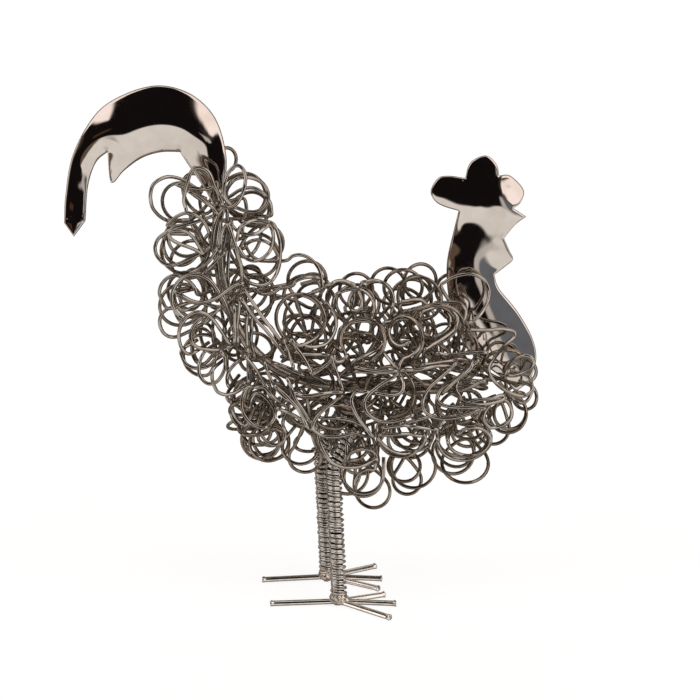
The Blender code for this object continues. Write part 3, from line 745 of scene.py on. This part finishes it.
# Wires that cross the near side of the bird, most of them open rings and long petals that
# meet at knots.  Each is how far out it starts from, then the x and z of its knots in turn,
# all in millimetres.
NEAR_WIRES = [
    # tail, top to bottom
    (10, -51.2, 195.1, -55.1, 196.8, -59.2, 197.4, -63.1, 196.2, -66.2, 193.7, -67.4, 189.8, -67.3,
     186.4, -66.4, 183.1, -63.9, 180, -61.2, 178.2, -59, 177.7),
    (14, -55.3, 194.4, -51, 193.4, -46, 192.5, -42.1, 192.3, -38.8, 192.9),
    (18, -34.4, 185.3, -36, 189.8, -38.2, 194.3, -39.8, 198.8, -41.9, 201.3, -44.7, 202.2, -47.5,
     201.6, -49.1, 199, -50.2, 195.4, -51.3, 191.5, -51.9, 187.6, -51.2, 184.8, -49.7, 181.7),
    (15, -49.9, 191.4, -45.8, 189.2, -42.3, 186.4, -39.3, 184.2, -36.9, 180.8),
    (12, -48.8, 190.4, -45, 187.5, -41, 185.6, -38.2, 182),
    (17, -38.6, 180.8, -43.1, 179.2, -48.1, 177.5, -53.1, 176.2, -57, 175, -60.4, 173, -63.5, 170.5,
     -65, 167.4, -65, 164.6, -64.1, 162.3, -61.6, 159.5, -58, 158.4, -54.1, 159.3, -50.7, 161,
     -46.8, 162.7, -43.4, 164.3, -40.6, 166.6),
    (15, -59.4, 175.8, -57.7, 178.3, -54.5, 180.6, -51.2, 181.7, -47.9, 181.1, -44.6, 179.2, -42.5,
     176.4, -41.1, 173, -40.4, 168.5),
    (19, -43.8, 163.9, -47.1, 165.7, -50.4, 167.1, -54.3, 168.5, -57.6, 170.5, -58.9, 173.3, -56.7,
     174.2, -53.6, 174.4, -50.3, 173.3, -47.5, 170.8, -45.4, 167.4, -43.2, 164.1),
    (13, -59.2, 171.9, -59.6, 169.5, -58.7, 166.6, -57.1, 164.3, -54.6, 162.5, -51.4, 161.9, -48.3,
     162.5, -45.2, 164, -43.5, 165.2),
    (20, -34.4, 185, -31.6, 184.8, -29.3, 185.7, -27.4, 187.6, -25.7, 190.9, -24.6, 194.8, -24.3,
     198.8, -25.5, 202.1, -28, 203.5, -30.8, 201.6, -32.7, 198.2, -33.7, 194.3, -33.7, 190.6, -32.6,
     188.1, -30.9, 186.2),
    (14, -30.9, 195.1, -28.1, 197.1, -25.3, 197.5, -22.5, 197.4, -18.9, 196.2, -16.2, 194, -14.6,
     190.6, -14.9, 187, -17.2, 183.6, -20.6, 182.1, -24.4, 182.4, -28.3, 183.8, -31.6, 184.9),
    (6, -31.5, 188.4, -28.2, 190.6, -24.9, 191.8, -21.5, 191.9, -18.2, 190.4, -16, 188.1, -14,
     185.3, -13.5, 182, -14.2, 179.2),
    (4, -26.3, 187, -24.9, 183.6, -25, 180.3, -26.4, 177.8),
    (20, -28.6, 169.7, -27.8, 173, -27.2, 175.5, -24.3, 177.7, -20.5, 179.2, -17.1, 179, -14.4,
     177.5, -12.6, 174.7, -12.1, 171.1, -12.8, 167.4, -14.5, 164.3, -17.3, 161.8, -20.4, 160.9,
     -23.5, 161.6, -25.7, 163.5, -27.6, 166.9),
    (21, -13.4, 178.3, -10.9, 175.5, -9.6, 171.6, -9, 167.5, -9.1, 163.5, -9.5, 159.2, -10.7, 155.5,
     -12.9, 152.1, -16, 150.2, -19.3, 150, -22.6, 151.1, -25.1, 153.5, -26.7, 156.4),
    (17, -31.7, 177.5, -29, 174.6, -26.2, 172.9, -22.9, 172.2, -19.6, 172.8, -16.8, 174.7, -14.8,
     176.9),
    (14, -26.1, 165.5, -23.9, 168, -20.5, 169.4, -16.9, 169.1, -13.6, 167.4, -11.4, 164.6, -10.6,
     160.5),
    (22, -35.9, 164.6, -35.5, 169.1, -34.8, 173.6, -33.6, 176.4, -32.2, 177.4, -31.2, 175.5, -29.9,
     171.3, -28.6, 167, -27.6, 163, -26.6, 159.5, -26.2, 155.8, -26.7, 151.2, -27.9, 147.3, -29.6,
     144.4, -31.6, 142.9),
    (14, -34.6, 185, -37, 180.3, -38.4, 176.4, -39.3, 171.9, -39.6, 167.4, -38.5, 160, -37, 152,
     -35, 145, -33, 138, -31.5, 131),
    (16, -34.2, 184.5, -35.8, 178, -37, 170, -37.6, 162, -37, 154, -35.5, 147, -33, 140),
    (12, -33.5, 184, -33, 178, -34, 170, -35.5, 162, -35, 154, -33.5, 146, -31, 139, -29.5, 130),
    (15, -31, 178, -31.5, 170, -32.5, 161, -33, 152, -31.5, 145),
    (18, -34, 164.6, -36.8, 161.8, -39.6, 158.6, -42.1, 156.1, -44.5, 153.6),
    (20, -37.3, 166.6, -39.6, 162.3, -42.4, 159.2, -45.8, 156.9, -49.2, 155.5),
    (23, -51.7, 135.3, -54.5, 136.7, -56.5, 139.3, -57.6, 142.7, -57.3, 147, -55.2, 151.2, -52, 154,
     -48.1, 155.1, -44.2, 154.7, -40.3, 152.4, -37.6, 149.1, -35.4, 145.5, -33.7, 142.1, -32.2,
     137.6, -30.9, 132.5, -29.6, 127.9),
    (15, -59.7, 138.4, -62.4, 141.8, -63.7, 145.3, -62.9, 149, -60.3, 152.1, -56.9, 153.5, -53.6,
     152.8, -50.3, 150.8, -47.9, 148.1, -46.2, 144.7),
    (12, -55.4, 125.3, -59.4, 124.9, -62.3, 126.6, -63.9, 129.9, -63.9, 133.6, -61.9, 136.7, -58.7,
     138.3, -55.6, 138.3, -52.6, 137),
    (7, -57.1, 137.9, -57, 134.4, -55.4, 131.4, -53.1, 129.5),
    (24, -47.2, 120.4, -50.7, 119.4, -53.2, 121.8, -54.4, 125.6, -54.4, 129.6, -52.9, 133.4, -49.9,
     136.7, -46.1, 138.4, -42.2, 137.5, -39, 134.7, -36.2, 130.7, -33.9, 127.2, -31.3, 123.8),
    (21, -42.9, 135.6, -46, 134, -48.5, 130.7, -49.6, 127, -48.6, 123.6, -45.9, 121.5, -42, 120.8,
     -38.2, 120.6, -33.7, 121.4, -30.3, 122.8),
    (24, -55.7, 148.1, -52.7, 145.8, -49.1, 143.7, -45.5, 142.7, -42.2, 142.9, -37.7, 144.5, -33.1,
     147.7, -29.2, 150.4, -25.6, 151.5),
    (19, -55.5, 145.8, -51.6, 143.3, -47.8, 141.8, -43.3, 141.4, -38, 140, -34, 140.5),
    (22, -31.6, 142.9, -34.4, 141, -37.3, 138.7, -40.1, 136.5, -43, 133),
    (26, -25.6, 149.5, -21.6, 143.6, -17.7, 137.6, -13.6, 132, -9.5, 126.3, -6, 120.5),
    (28, -26.4, 145.3, -23, 140.1, -19.2, 135, -15.1, 130.5, -10.5, 124.2, -6.5, 118.5),
    (13, -21.3, 147, -18.5, 145, -15.2, 144.7, -11.8, 145.8, -9.5, 148.4),
    (26, -29.5, 141, -29.3, 132, -29.4, 124.5),
    (24, -27.3, 146, -27.6, 138.5, -28.5, 132, -28, 124),
    (24, -24, 139, -24.3, 131, -24, 123, -23.5, 116),
    (22, -22, 140, -22, 131, -22.3, 124, -20.5, 117),
    (20, -53.4, 120.7, -53.5, 117.2, -51.7, 113.9, -48.4, 112.2, -44.8, 112.1, -41.4, 113.3, -38.6,
     116.4, -36.9, 119.8),
    (22, -42.5, 120.7, -44.8, 117.2, -46, 113.2, -45.6, 109.2, -43.5, 106.2, -40.7, 105.2, -37.8,
     106.4, -35.3, 109.8, -34.1, 113.8, -34.4, 117.8, -35.7, 120.7),
    (22, -39.5, 112, -40, 107.5, -39, 104, -37.4, 101.4, -34, 100.2, -30.4, 100.9, -27.3, 102.6,
     -24.4, 104.9),
    (22, -32.3, 104, -33.3, 107.8, -32.1, 111.5, -29.4, 114.7, -27.1, 116.4),
    (26, -23.5, 122, -23.6, 116.1, -23.5, 111.5, -23.2, 106.6),
    (28, -20.5, 105.5, -23.3, 105.1, -25.3, 102.9, -26.4, 99.4, -26.4, 95.7, -25.2, 92, -22.4, 88.5,
     -19.1, 86.7, -15.4, 86.8),
    (26, -23.2, 94.8, -22.6, 98.6, -20.3, 101.7, -17.3, 101.1, -14.2, 98, -12, 94.5, -11.8, 90.8,
     -14.1, 87.6),
    (30, -20.5, 105.5, -16.1, 105.3, -13.3, 102.3, -10, 99.1, -6.4, 96.8),
    (30, -16, 117, -14.9, 113.2, -13, 108.3, -9.7, 103.4, -5, 99.1),
    (28, -25, 119.5, -22, 115.8, -19, 111.5, -16.8, 107.2, -13, 100),
    (14, -31.6, 98, -31.8, 94.3, -30.9, 89.7, -28.7, 86.2, -25.3, 84.4),
    (18, -19.8, 85.6, -18.9, 81.9, -16.7, 78.4, -13.6, 76.3, -10.3, 76.1, -8, 78.4, -7.5, 82.5,
     -8.5, 86.2),
    # back and side, tail end to breast
    (34, -4.4, 147.8, -0.3, 147.9, 4.1, 146.5, 7.7, 143.7, 10, 139.9, 10.7, 135.7, 9.7, 131.8, 6.8,
     128.5, 3, 126.3, -0.4, 125, -4.3, 127.2),
    (30, 10.8, 143.2, 13.8, 140.5, 15.6, 137.1, 15.8, 133.2, 14.5, 128.9, 12, 125.6, 8.4, 124, 4,
     123.7, 0.4, 124.7),
    (18, -6.7, 160.7, -3.7, 162.7, -0.4, 163.3, 3.3, 162.1, 6.6, 159.3, 8.6, 155.7, 9.3, 151.4, 8.9,
     147.8),
    (22, -4.1, 149.8, -2.2, 152, 0.9, 153.4, 4.8, 153.9, 8.1, 153.1),
    (30, 15.2, 146.1, 18, 148.5, 21.9, 149.6, 26.3, 149.6, 29.6, 147.9, 32, 145, 32.8, 141.3, 31.9,
     137.7),
    (26, 13, 151.1, 15.5, 152.5, 18.6, 152.9, 21.6, 152, 24.1, 150.3),
    (26, 26.8, 151.2, 29.6, 152.5, 32.9, 153, 36.2, 152.1, 39.1, 149.8, 40.9, 146.7, 41.4, 143,
     40.6, 139.3),
    (24, 24.3, 148.6, 22.3, 145.8, 21.6, 142.4, 22.8, 139.6, 25.4, 138.8, 27.1, 141, 27.2, 144.1,
     26, 147.5),
    (33, 17.6, 132, 20.1, 133.8, 24, 135.4, 28.4, 136, 32.8, 135.1, 36.1, 133.2, 37.9, 130.3, 37.2,
     126.7, 34.4, 123.5, 30.8, 121.3, 27, 119.4, 23.1, 117),
    (33, 36.5, 134.3, 39.5, 135.6, 42.9, 136.5, 46.7, 137.1, 50.1, 136, 52.9, 134, 54.2, 130.3,
     53.7, 126.4, 51.9, 122.7, 48.7, 120.2, 45.3, 118.6, 43.4, 113.9),
    (29, 43, 135.5, 40.4, 133.2, 39.4, 130.3, 40.2, 127, 42.7, 124.4, 45.7, 124.1, 48.8, 125.6),
    (29, 44.3, 143, 47, 144.2, 50.9, 144.9, 54.5, 144.1),
    (33, 48, 139.9, 52.1, 141.9, 56.6, 142.9, 61, 143, 64.9, 142.3, 67.9, 140.2, 69.6, 137.4, 68.8,
     133.4, 66.1, 130.3, 62.2, 127.5, 57.8, 124.7, 54.8, 122.2),
    (34, 59.3, 143.8, 64.2, 144.4, 68.6, 144.3, 71.4, 143.2, 73.2, 140.9, 72.8, 137.7, 70.9, 134.2,
     68.1, 130.9, 64.9, 128, 61.5, 125.8),
    (30, 53.2, 138.5, 56.8, 140.6, 60.4, 141.5, 63.9, 140.9, 66.1, 138.5, 66.7, 135.4, 65.7, 132.3,
     62.9, 129.8, 59.3, 127.8),
    (24, 62.6, 149.8, 64.4, 152, 67.7, 154, 71.6, 155.1, 75.7, 155.5, 79.6, 154.3, 82.6, 151.7, 84,
     148.1, 83.6, 143.8, 81.8, 139.9, 79.4, 136.5, 76.6, 134, 74.1, 132.7),
    (26, 74.1, 130.3, 79.4, 130.5, 84.4, 130.6, 88.8, 131.1, 93, 130.6, 95.6, 129.4, 94.9, 127.2,
     92.2, 124.7, 88.9, 121, 85.8, 116.7, 84.2, 113.3, 84.5, 110.5, 86.9, 107, 90.3, 103.9, 94.5,
     101.6, 98.4, 100.5, 101.2, 100.9, 104.3, 104.2),
    (14, 102.5, 107.3, 104.3, 104.2, 104.5, 100.2, 102.9, 96.2, 100.1, 94.6, 97, 95.6, 95, 97.6),
    (16, 92.2, 108.5, 93.6, 111.6, 96.3, 114.9, 100.2, 116.9, 103.5, 116.5, 105, 114.5, 104.3,
     111.9, 101.1, 109.2, 97.2, 107.9, 93.9, 107.8, 90, 108.5),
    (36, 69, 117.5, 66.7, 115, 63.9, 112.5, 60.6, 109.6, 57.4, 106.5, 55.1, 102.7, 54.2, 99, 55.2,
     95.9, 57.7, 93.8, 61.3, 92.6, 65.5, 92.4, 69.7, 92.9, 74.2, 94.2, 77.5, 95.6, 80.8, 96.9),
    (35, 79.2, 118.9, 75.6, 115.6, 72, 112.5, 67.9, 109.2, 64, 106.7, 61.7, 104.2, 60.8, 101.3,
     62.1, 99, 65.4, 97.7, 69.9, 97.3, 74.6, 97.1, 79.4, 96.9, 82, 97),
    (36, 44.9, 114.2, 50, 114.3, 55, 115.1, 60.6, 116.2, 65.6, 116.1, 67.6, 115),
    (37, 53.9, 116.7, 60, 117.8, 66.2, 118.7, 70.6, 119.5, 74.3, 119.1, 76.1, 117.8, 75, 115, 71.5,
     111.9, 67, 108, 63, 104),
    (33, 60.3, 121.3, 65, 120.7, 70.1, 121, 74.5, 121.4, 79, 121.8, 82.6, 121.6),
    (36, 24.1, 115.6, 29.7, 114.6, 35.8, 113.8, 43.3, 113.8),
    (35, 24.1, 113.6, 30.8, 113.2, 37.5, 113, 43.3, 113.4),
    (36, 43.3, 113.6, 44.8, 111, 45.8, 108.2, 45.1, 104.7, 41.9, 103, 36.9, 103.3, 33, 104.2),
    (37, 43.3, 113.2, 41.4, 111.5, 37.4, 109.2, 33.3, 106.3, 30.1, 103.3, 28.5, 100.2, 28.9, 96.7,
     31, 93.8, 34.6, 91.7, 38.5, 91, 42.7, 91.5, 46.6, 92.9, 50, 94.5),
    (35, 43.3, 114, 40.7, 117.3, 38, 120.6, 35.8, 123.3),
    (37, 30.7, 104.5, 27.4, 105.1, 24.4, 104.5, 22.8, 101.9, 23, 99, 24.6, 95, 26.8, 91.3, 29.6,
     87.6, 32.3, 84.6),
    (36, 18.8, 103.1, 15.1, 100.3, 11.8, 97.6, 8.7, 94.9, 6.6, 92.2, 5.5, 89.3, 6.4, 86.7, 9.4,
     84.7, 13.4, 84, 17.9, 84.3, 21.8, 85.3, 25.9, 86.7),
    (37, -2.4, 104.5, 1, 103.1, 5.1, 103.1, 9.6, 103.9, 14.1, 104.5, 18.8, 104.6),
    (34, -7.5, 128, -5.6, 123.9, -4.3, 119.6, -3.2, 115.3),
    (35, -4, 128, -1.5, 123.9, 1, 120.5, 3.5, 116.2, 5, 112.3),
    (36, -11.3, 107.6, -7.7, 104.2, -4.1, 100.5, -1, 96.7, 1.4, 92.2, 3.7, 87.9),
    (34, -6, 110.5, -4, 105.9, -2.4, 101.3, 0.1, 97.3, 3.1, 92.7, 5.1, 89.9),
    (32, -10.5, 96.6, -6.1, 94.5, -1.6, 92.1, 1.8, 89.3, 5.1, 86.5),
    (36, -2, 122.5, 1, 121.6, 5.2, 121.4, 9.6, 121.3, 13.3, 120.6),
    (35, 13.6, 118.8, 12.7, 117.4, 9.1, 114.7, 5.4, 112.1),
    (36, 13.8, 121, 14.5, 117.4, 16.3, 112.7, 17.9, 108.2, 18.8, 105),
    (31, -11.5, 116.5, -6, 114.5, -2, 112.5, 1.5, 111),
    (30, 36, 90.5, 34.9, 88.7, 34, 85, 35, 81.5, 38, 78, 42.4, 75.5, 47.5, 74.8, 51.7, 76.1, 54.8,
     78.9, 55.9, 82, 54.6, 85),
    (24, 6.6, 88, 7.5, 83.9, 8.4, 78.9, 10.7, 73.6, 13.8, 69.4, 18.3, 67.2, 23.1, 66.9, 27.6, 67.7,
     31.6, 70, 34.4, 73.6),
    (22, 19.8, 69.6, 21.7, 72.5, 25.4, 74.5, 29.9, 75, 33.3, 73.1, 34.3, 69.9),
    (16, 17.6, 63.5, 18.6, 59.4, 21.1, 55.8, 24.8, 53.3, 29.3, 52.7, 33.3, 54.1, 36.1, 57.1, 37.2,
     60.6),
    (14, 24, 55.3, 24.2, 58.8, 26.5, 62, 29.9, 63.6, 33.3, 63.8),
    (28, 61.8, 80.5, 61, 84, 61.8, 86.5, 63.8, 89.5, 66.9, 91.8, 69.6, 92.8),
    (27, 61.4, 84.5, 61.4, 80, 63, 75.6, 66.1, 72.7, 70.3, 71.2, 75.4, 71.4, 80, 73.1, 83.7, 76.5,
     85.3, 80.5, 84.8, 84),
    (32, 65.6, 82.2, 66.3, 79.3, 68.5, 76.5, 72.8, 74.7, 77.6, 74.6, 81.8, 76.2, 84.5, 79.3, 84.9,
     82.7, 83.1, 85.3, 79.8, 87, 75.9, 87.4, 72.5, 86.2, 70, 84.5),
    (28, 84.9, 86.2, 82.7, 88.7, 82, 92.2, 83.6, 95.6, 86.5, 98.5, 89.8, 99.5, 92.6, 98.2, 94.4,
     94.9, 94, 91, 91.6, 88.2, 88.2, 86.7, 85.1, 86.2),
    (36, 73.5, 99.5, 79.1, 100.9, 84.7, 101.4, 89.2, 103, 90.4, 102, 88.9, 100.5, 83.6, 99.1, 78,
     98.7, 72.4, 99.9, 70.7, 102.5, 69, 105.9, 70, 110),
    (33, 70.3, 104.5, 72.4, 104.7, 75.7, 106, 79.1, 107.9, 82, 109.2),
    (34, 44.5, 89.9, 48.4, 88.5, 52.9, 87.9, 57.4, 87.3, 61, 87.5),
    (34, 45, 89, 49, 90.5, 55.7, 92.3, 60, 94),
    (33, 35.1, 84.6, 39.6, 84.3, 44, 84.6, 48.2, 84.7, 54, 84),
    (32, 36.2, 87.6, 41.3, 87.8, 46.3, 88.5, 52, 90.5),
    (34, 8.5, 92.5, 15.1, 92.2, 19.6, 91.7, 24, 90.6, 28, 89),
    (35, 21, 121, 19, 118.5, 16, 118, 13.8, 120.6),
]
LEAST_DEPTH = 9.0                 # clear of the two plates
FEEL = 9.0                        # how far round a place the tangle is felt for
NEAR_LEAN = 0.16                  # how steeply near wires lean out of the bird's plane
ARCH = 3.5                        # how far a near wire's ends lie in from its middle
SMOOTHINGS = 3                    # times that steps in depth from knot to knot are smoothed
RUN_IN = 9.0                      # how far an open wire's ends run in towards the spine,
RUN_SHARE = 0.55                  # but no more than this share of the way
OPEN = 6.0                        # a wire is open if its ends are further apart than this
TAIL_ENDS = -8.0                  # wires that start behind this x belong to the tail


def run_in(end):
    """A point past a wire's end, part of the way in to the spine."""
    nearest = min(spine_route, key=lambda point: (point - end).length)
    way = nearest - end
    return end + way * min(RUN_SHARE, RUN_IN * MM / way.length)


wreath_corners = numpy.array([vertex.co[:] for name, *_ in TAIL_WREATHS + BODY_WREATHS
                              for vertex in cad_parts[name].data.vertices]) / MM


def tangle_depth(x, z):
    """How far out the wreaths reach on the near side at one place, in millimetres."""
    close = (wreath_corners[:, 0] - x) ** 2 + (wreath_corners[:, 2] - z) ** 2 < FEEL ** 2
    return max(LEAST_DEPTH, -wreath_corners[close, 1].min()) if close.any() else LEAST_DEPTH


def near_route(out, knots, chance):
    """A wire on the near side, seen at its knots.  It follows the round of the tangle and
    leans its own way, and its ends dip in towards the spine."""
    middle_x = sum(x for x, z in knots) / len(knots)
    middle_z = sum(z for x, z in knots) / len(knots)
    lean_x, lean_z = chance.gauss(0.0, NEAR_LEAN), chance.gauss(0.0, NEAR_LEAN)
    inwards = []
    for index, (x, z) in enumerate(knots):
        dip = ARCH * (1.0 - math.sin(math.pi * index / (len(knots) - 1)))
        inward = lean_x * (x - middle_x) + lean_z * (z - middle_z) + dip
        inwards.append(max(inward, out - tangle_depth(x, z)))
    for _ in range(SMOOTHINGS):
        padded = [inwards[0]] + inwards + [inwards[-1]]
        inwards = [(before + 2.0 * here + after) / 4.0
                   for before, here, after in zip(padded, padded[1:], padded[2:])]
    points = []
    for (x, z), inward in zip(knots, inwards):
        # Each knot moves in along the line of sight, so that it is seen in the same place
        seen = Vector((x, -out, z)) * MM
        sight = (seen - CAMERA_PLACE) / (seen.y - CAMERA_PLACE.y)
        points.append(seen + sight * inward * MM)
    if (points[0] - points[-1]).length > OPEN * MM:
        points = [run_in(points[0])] + points + [run_in(points[-1])]
    return [clear_of_rods(point) for point in smooth_route(points, 5)]


NEAR_SEED = 23
chance = random.Random(NEAR_SEED)
near_routes = [near_route(out, list(zip(places[::2], places[1::2])), chance)
               for out, *places in NEAR_WIRES]
for name, picked in (
        ("near_wires_tail", [route for route in near_routes if route[0].x < TAIL_ENDS * MM]),
        ("near_wires_body", [route for route in near_routes if route[0].x >= TAIL_ENDS * MM])):
    near_wires = drawn_wire(name, picked, WIRE_RADIUS, 3)
    near_wires.data.materials.append(wire_metal)
    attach(near_wires, "root")


# ---------------------------------------------------------------- legs
# Each leg is a bent rod, wrapped from the foot up in three strands of fine bright wire.
# The middle strand rides on the other two, so that every turn stands out as a ridge.
# The rod under the wrapping is painted nearly black, as painted shade in the valleys between the
# turns.

WRAP_PITCH = 2.45 * MM
STRAND_RADIUS = 0.40 * MM
STRANDS = [(-0.56, 3.05), (0.06, 3.5), (0.64, 3.2)]     # along the leg, and from its middle
STRAND_SHIFT = 9.0                # sets the strands' slants off from each other
CORE_RADIUS = 2.45 * MM
CORE_STEP = 1.0 * MM              # between points along a leg
TURN_POINTS = 14                  # points of a strand in one turn
WOBBLE = 0.26                     # how far a turn may stand out or sink in
SLANT = 0.40                      # how far a turn may slant up or down


def even_route(route, spacing):
    """The same route with its points an even distance apart."""
    lengths = [0.0]
    for start, stop in zip(route, route[1:]):
        lengths.append(lengths[-1] + (stop - start).length)
    count = max(2, round(lengths[-1] / spacing))
    points = []
    segment = 0
    for index in range(count + 1):
        target = lengths[-1] * index / count
        while segment < len(route) - 2 and lengths[segment + 1] < target:
            segment += 1
        share = (target - lengths[segment]) / (lengths[segment + 1] - lengths[segment])
        points.append(route[segment].lerp(route[segment + 1], share))
    return points


def wrapping(core, along_shift, distance, chance):
    """One strand wound up a leg: along_shift moves it along the leg, distance out from it."""
    step = (core[1] - core[0]).length
    length = step * (len(core) - 1)
    turns = int(length / WRAP_PITCH) + 3
    wobble = [chance.uniform(-WOBBLE, WOBBLE) for _ in range(turns)]
    slant = [chance.uniform(-SLANT, SLANT) for _ in range(turns)]
    route = []
    for index in range(int(length / WRAP_PITCH * TURN_POINTS)):
        turn = index / TURN_POINTS
        travel = turn * WRAP_PITCH + along_shift * MM
        travel = min(max(travel, 0.0), length - step)
        place = travel / step
        segment = min(int(place), len(core) - 2)
        centre = core[segment].lerp(core[segment + 1], place - segment)
        upward = core[min(segment + 2, len(core) - 1)] - core[max(segment - 1, 0)]
        upward = upward.normalized()
        side = upward.cross(Vector((0.0, 1.0, 0.0))).normalized()
        front = side.cross(upward)
        swing = 2.0 * math.pi * turn
        part = turn - int(turn)
        wave = wobble[int(turn)] * (1.0 - part) + wobble[int(turn) + 1] * part
        tilt = slant[int(turn)] * (1.0 - part) + slant[int(turn) + 1] * part
        out = (distance + wave) * MM
        route.append(centre + side * (out * math.cos(swing)) + front * (out * math.sin(swing))
                     + upward * (tilt * MM * math.sin(swing + STRAND_SHIFT * along_shift)))
    return route


wrap_metal = nickel("bright_wrap_wire", (0.90, 0.88, 0.85), (0.50, 0.47, 0.43),
                    0.14, 0.14, 0.003, 2.0)
# The leg rod's nickel is painted nearly black: painted shade in the valleys between the wrapped
# turns, not the rod's own colour
painted_shade_rod_metal = nickel("leg_rod_painted_shade", (0.04, 0.032, 0.026), (0.02, 0.015, 0.012),
                      0.35, 0.15, 0.004, 5.0)
for side_name, leg_knots, seed in (("near", LEG_ROUTES[0], 5), ("far", LEG_ROUTES[1], 6)):
    core = even_route(smooth_route(leg_knots, 10), CORE_STEP)
    chance = random.Random(seed)
    leg = drawn_wire(side_name + "_leg_rod", [core], CORE_RADIUS, 4)
    leg.data.materials.append(painted_shade_rod_metal)
    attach(leg, "root")
    strands = [wrapping(core, shift, distance, chance) for shift, distance in STRANDS]
    wraps = drawn_wire(side_name + "_leg_wrapping", strands, STRAND_RADIUS, 1)
    wraps.data.materials.append(wrap_metal)
    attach(wraps, "root")
    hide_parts(side_name + "_leg")


# ---------------------------------------------------------------- feet
# Four cut lengths of rod under each leg, joined in a lump of weld and plated over.  The
# cutter has left each outer end slightly mushroomed, with a burr.

TOE_RADIUS = 1.3 * MM
TOE_RISE = 1.1                    # a toe's inner end is welded on this much higher than its tip
# Each toe's way from the foot, in degrees towards the other foot, and its length
NEAR_TOES = [("back", 180.0, 31.5), ("inner", 33.0, 25.0), ("middle", 0.0, 26.0),
             ("outer", -42.0, 31.0)]
FAR_TOES = [("back", 177.0, 31.0), ("inner", 33.0, 29.0), ("middle", 0.0, 26.0),
            ("outer", -42.0, 31.0)]
# Along a toe, and how much wider it is there: the cutter has spread its end
TOE_STATIONS = [(0.35, 1.0), (0.93, 1.0), (0.965, 1.02), (0.980, 1.16), (0.995, 1.20), (1.0, 1.08)]
TOE_SIDES = 20
CHAMFER = (0.25, 0.18)            # of the cut end: how wide, and how deep
BURR_START = 0.97                 # of the toe's length
BURR = (0.22, 0.45)               # across the cut end, and along the toe
BURR_SIZE = 1.4
WELD_HALF_SIZE = (4.4, 4.1, 3.3)
WELD_HEIGHT = 3.7                 # of its middle
WELD_BASE = 0.15 * MM             # it lies flat this far above the table
LUMPS = [(1.6, 0.16), (4.0, 0.09)]      # how fine, and how high as a share of the weld
PITS = (7.0, 0.10, 0.15)          # how fine, how deep and how sparse


def cut_rod(name, foot, angle, length, chance):
    """A toe: a rod lying on the table, its far end spread by the cutter."""
    build = bmesh.new()
    made = bmesh.ops.create_circle(build, cap_ends=True, segments=TOE_SIDES,
                                   radius=TOE_RADIUS)
    face = made["verts"][0].link_faces[0]
    done = 0.0
    for share, swell in TOE_STATIONS:
        extruded = bmesh.ops.extrude_discrete_faces(build, faces=[face])
        face = extruded["faces"][0]
        ring = list(face.verts)
        bmesh.ops.translate(build, verts=ring, vec=(0.0, 0.0, (share - done) * length * MM))
        for vert in ring:
            flat = Vector((vert.co.x, vert.co.y, 0.0)).normalized() * TOE_RADIUS * swell
            vert.co.x, vert.co.y = flat.x, flat.y
        done = share
    wide, deep = CHAMFER
    bmesh.ops.inset_individual(build, faces=[face], thickness=wide * MM, depth=0.0)
    bmesh.ops.translate(build, verts=list(face.verts), vec=(0.0, 0.0, deep * MM))
    bmesh.ops.remove_doubles(build, verts=build.verts[:], dist=0.001 * MM)
    for vert in build.verts:
        if vert.co.z > BURR_START * length * MM:
            shift = Vector((chance.random() * 9.0, 0.0, 0.0))
            burr = noise.noise(Vector((vert.co.x, vert.co.y, 0.0)) / (BURR_SIZE * MM) + shift)
            vert.co.x += BURR[0] * MM * burr
            vert.co.z += BURR[1] * MM * burr
    bmesh.ops.recalc_face_normals(build, faces=build.faces[:])
    droop = math.asin(TOE_RISE / length)
    build.transform(Matrix.Translation((foot[0] * MM, foot[1] * MM, TOE_RADIUS + TOE_RISE * MM))
                    @ Matrix.Rotation(angle, 4, "Z")
                    @ Matrix.Rotation(math.radians(90.0) + droop, 4, "Y"))
    for vert in build.verts:
        vert.co.z = max(vert.co.z, 0.0)
    return finished(name, build)


def weld_lump(name, foot, chance):
    """A bead of weld: a lumpy, pitted mass that runs out on to each toe."""
    build = bmesh.new()
    bmesh.ops.create_icosphere(build, subdivisions=5, radius=1.0)
    wide, deep, tall = WELD_HALF_SIZE
    pit_fineness, pit_depth, sparseness = PITS
    shift = Vector((chance.random() * 20.0, chance.random() * 20.0, 0.0))
    for vert in build.verts:
        way = vert.co.normalized()
        lumps = sum(noise.noise(way * fineness + shift) * height for fineness, height in LUMPS)
        pits = -pit_depth * max(0.0, noise.noise(way * pit_fineness - shift) - sparseness)
        size = 1.0 + lumps + pits
        vert.co = Vector((way.x * wide * size, way.y * deep * size,
                          way.z * tall * size + WELD_HEIGHT)) * MM
        vert.co.z = max(vert.co.z, WELD_BASE)
        vert.co += Vector((foot[0] * MM, foot[1] * MM, 0.0))
    return finished(name, build)


toe_metal = nickel("bright_nickel_rod", (0.92, 0.885, 0.84), (0.74, 0.69, 0.64),
                   0.10, 0.12, 0.002, 4.0)
weld_metal = nickel("plated_weld", (0.80, 0.75, 0.69), (0.46, 0.40, 0.34), 0.12, 0.2, 0.02, 1.2)
# Each foot: its middle (x, y), its toes, which way is inwards, and the seed of its burrs
for side_name, foot, toes, inward, seed in (("near", (17.0, -19.3), NEAR_TOES, 1.0, 11),
                                            ("far", (11.2, 19.3), FAR_TOES, -1.0, 12)):
    chance = random.Random(seed)
    for toe_name, degrees, length in toes:
        angle = inward * math.radians(degrees)
        toe = cut_rod(side_name + "_" + toe_name + "_toe_rod", foot, angle, length, chance)
        toe.data.materials.append(toe_metal)
        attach(toe, "root")
        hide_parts(side_name + "_" + toe_name + "_toe")
    lump = weld_lump(side_name + "_weld_lump", foot, chance)
    lump.data.materials.append(weld_metal)
    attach(lump, "root")
    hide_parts(side_name + "_foot_weld")
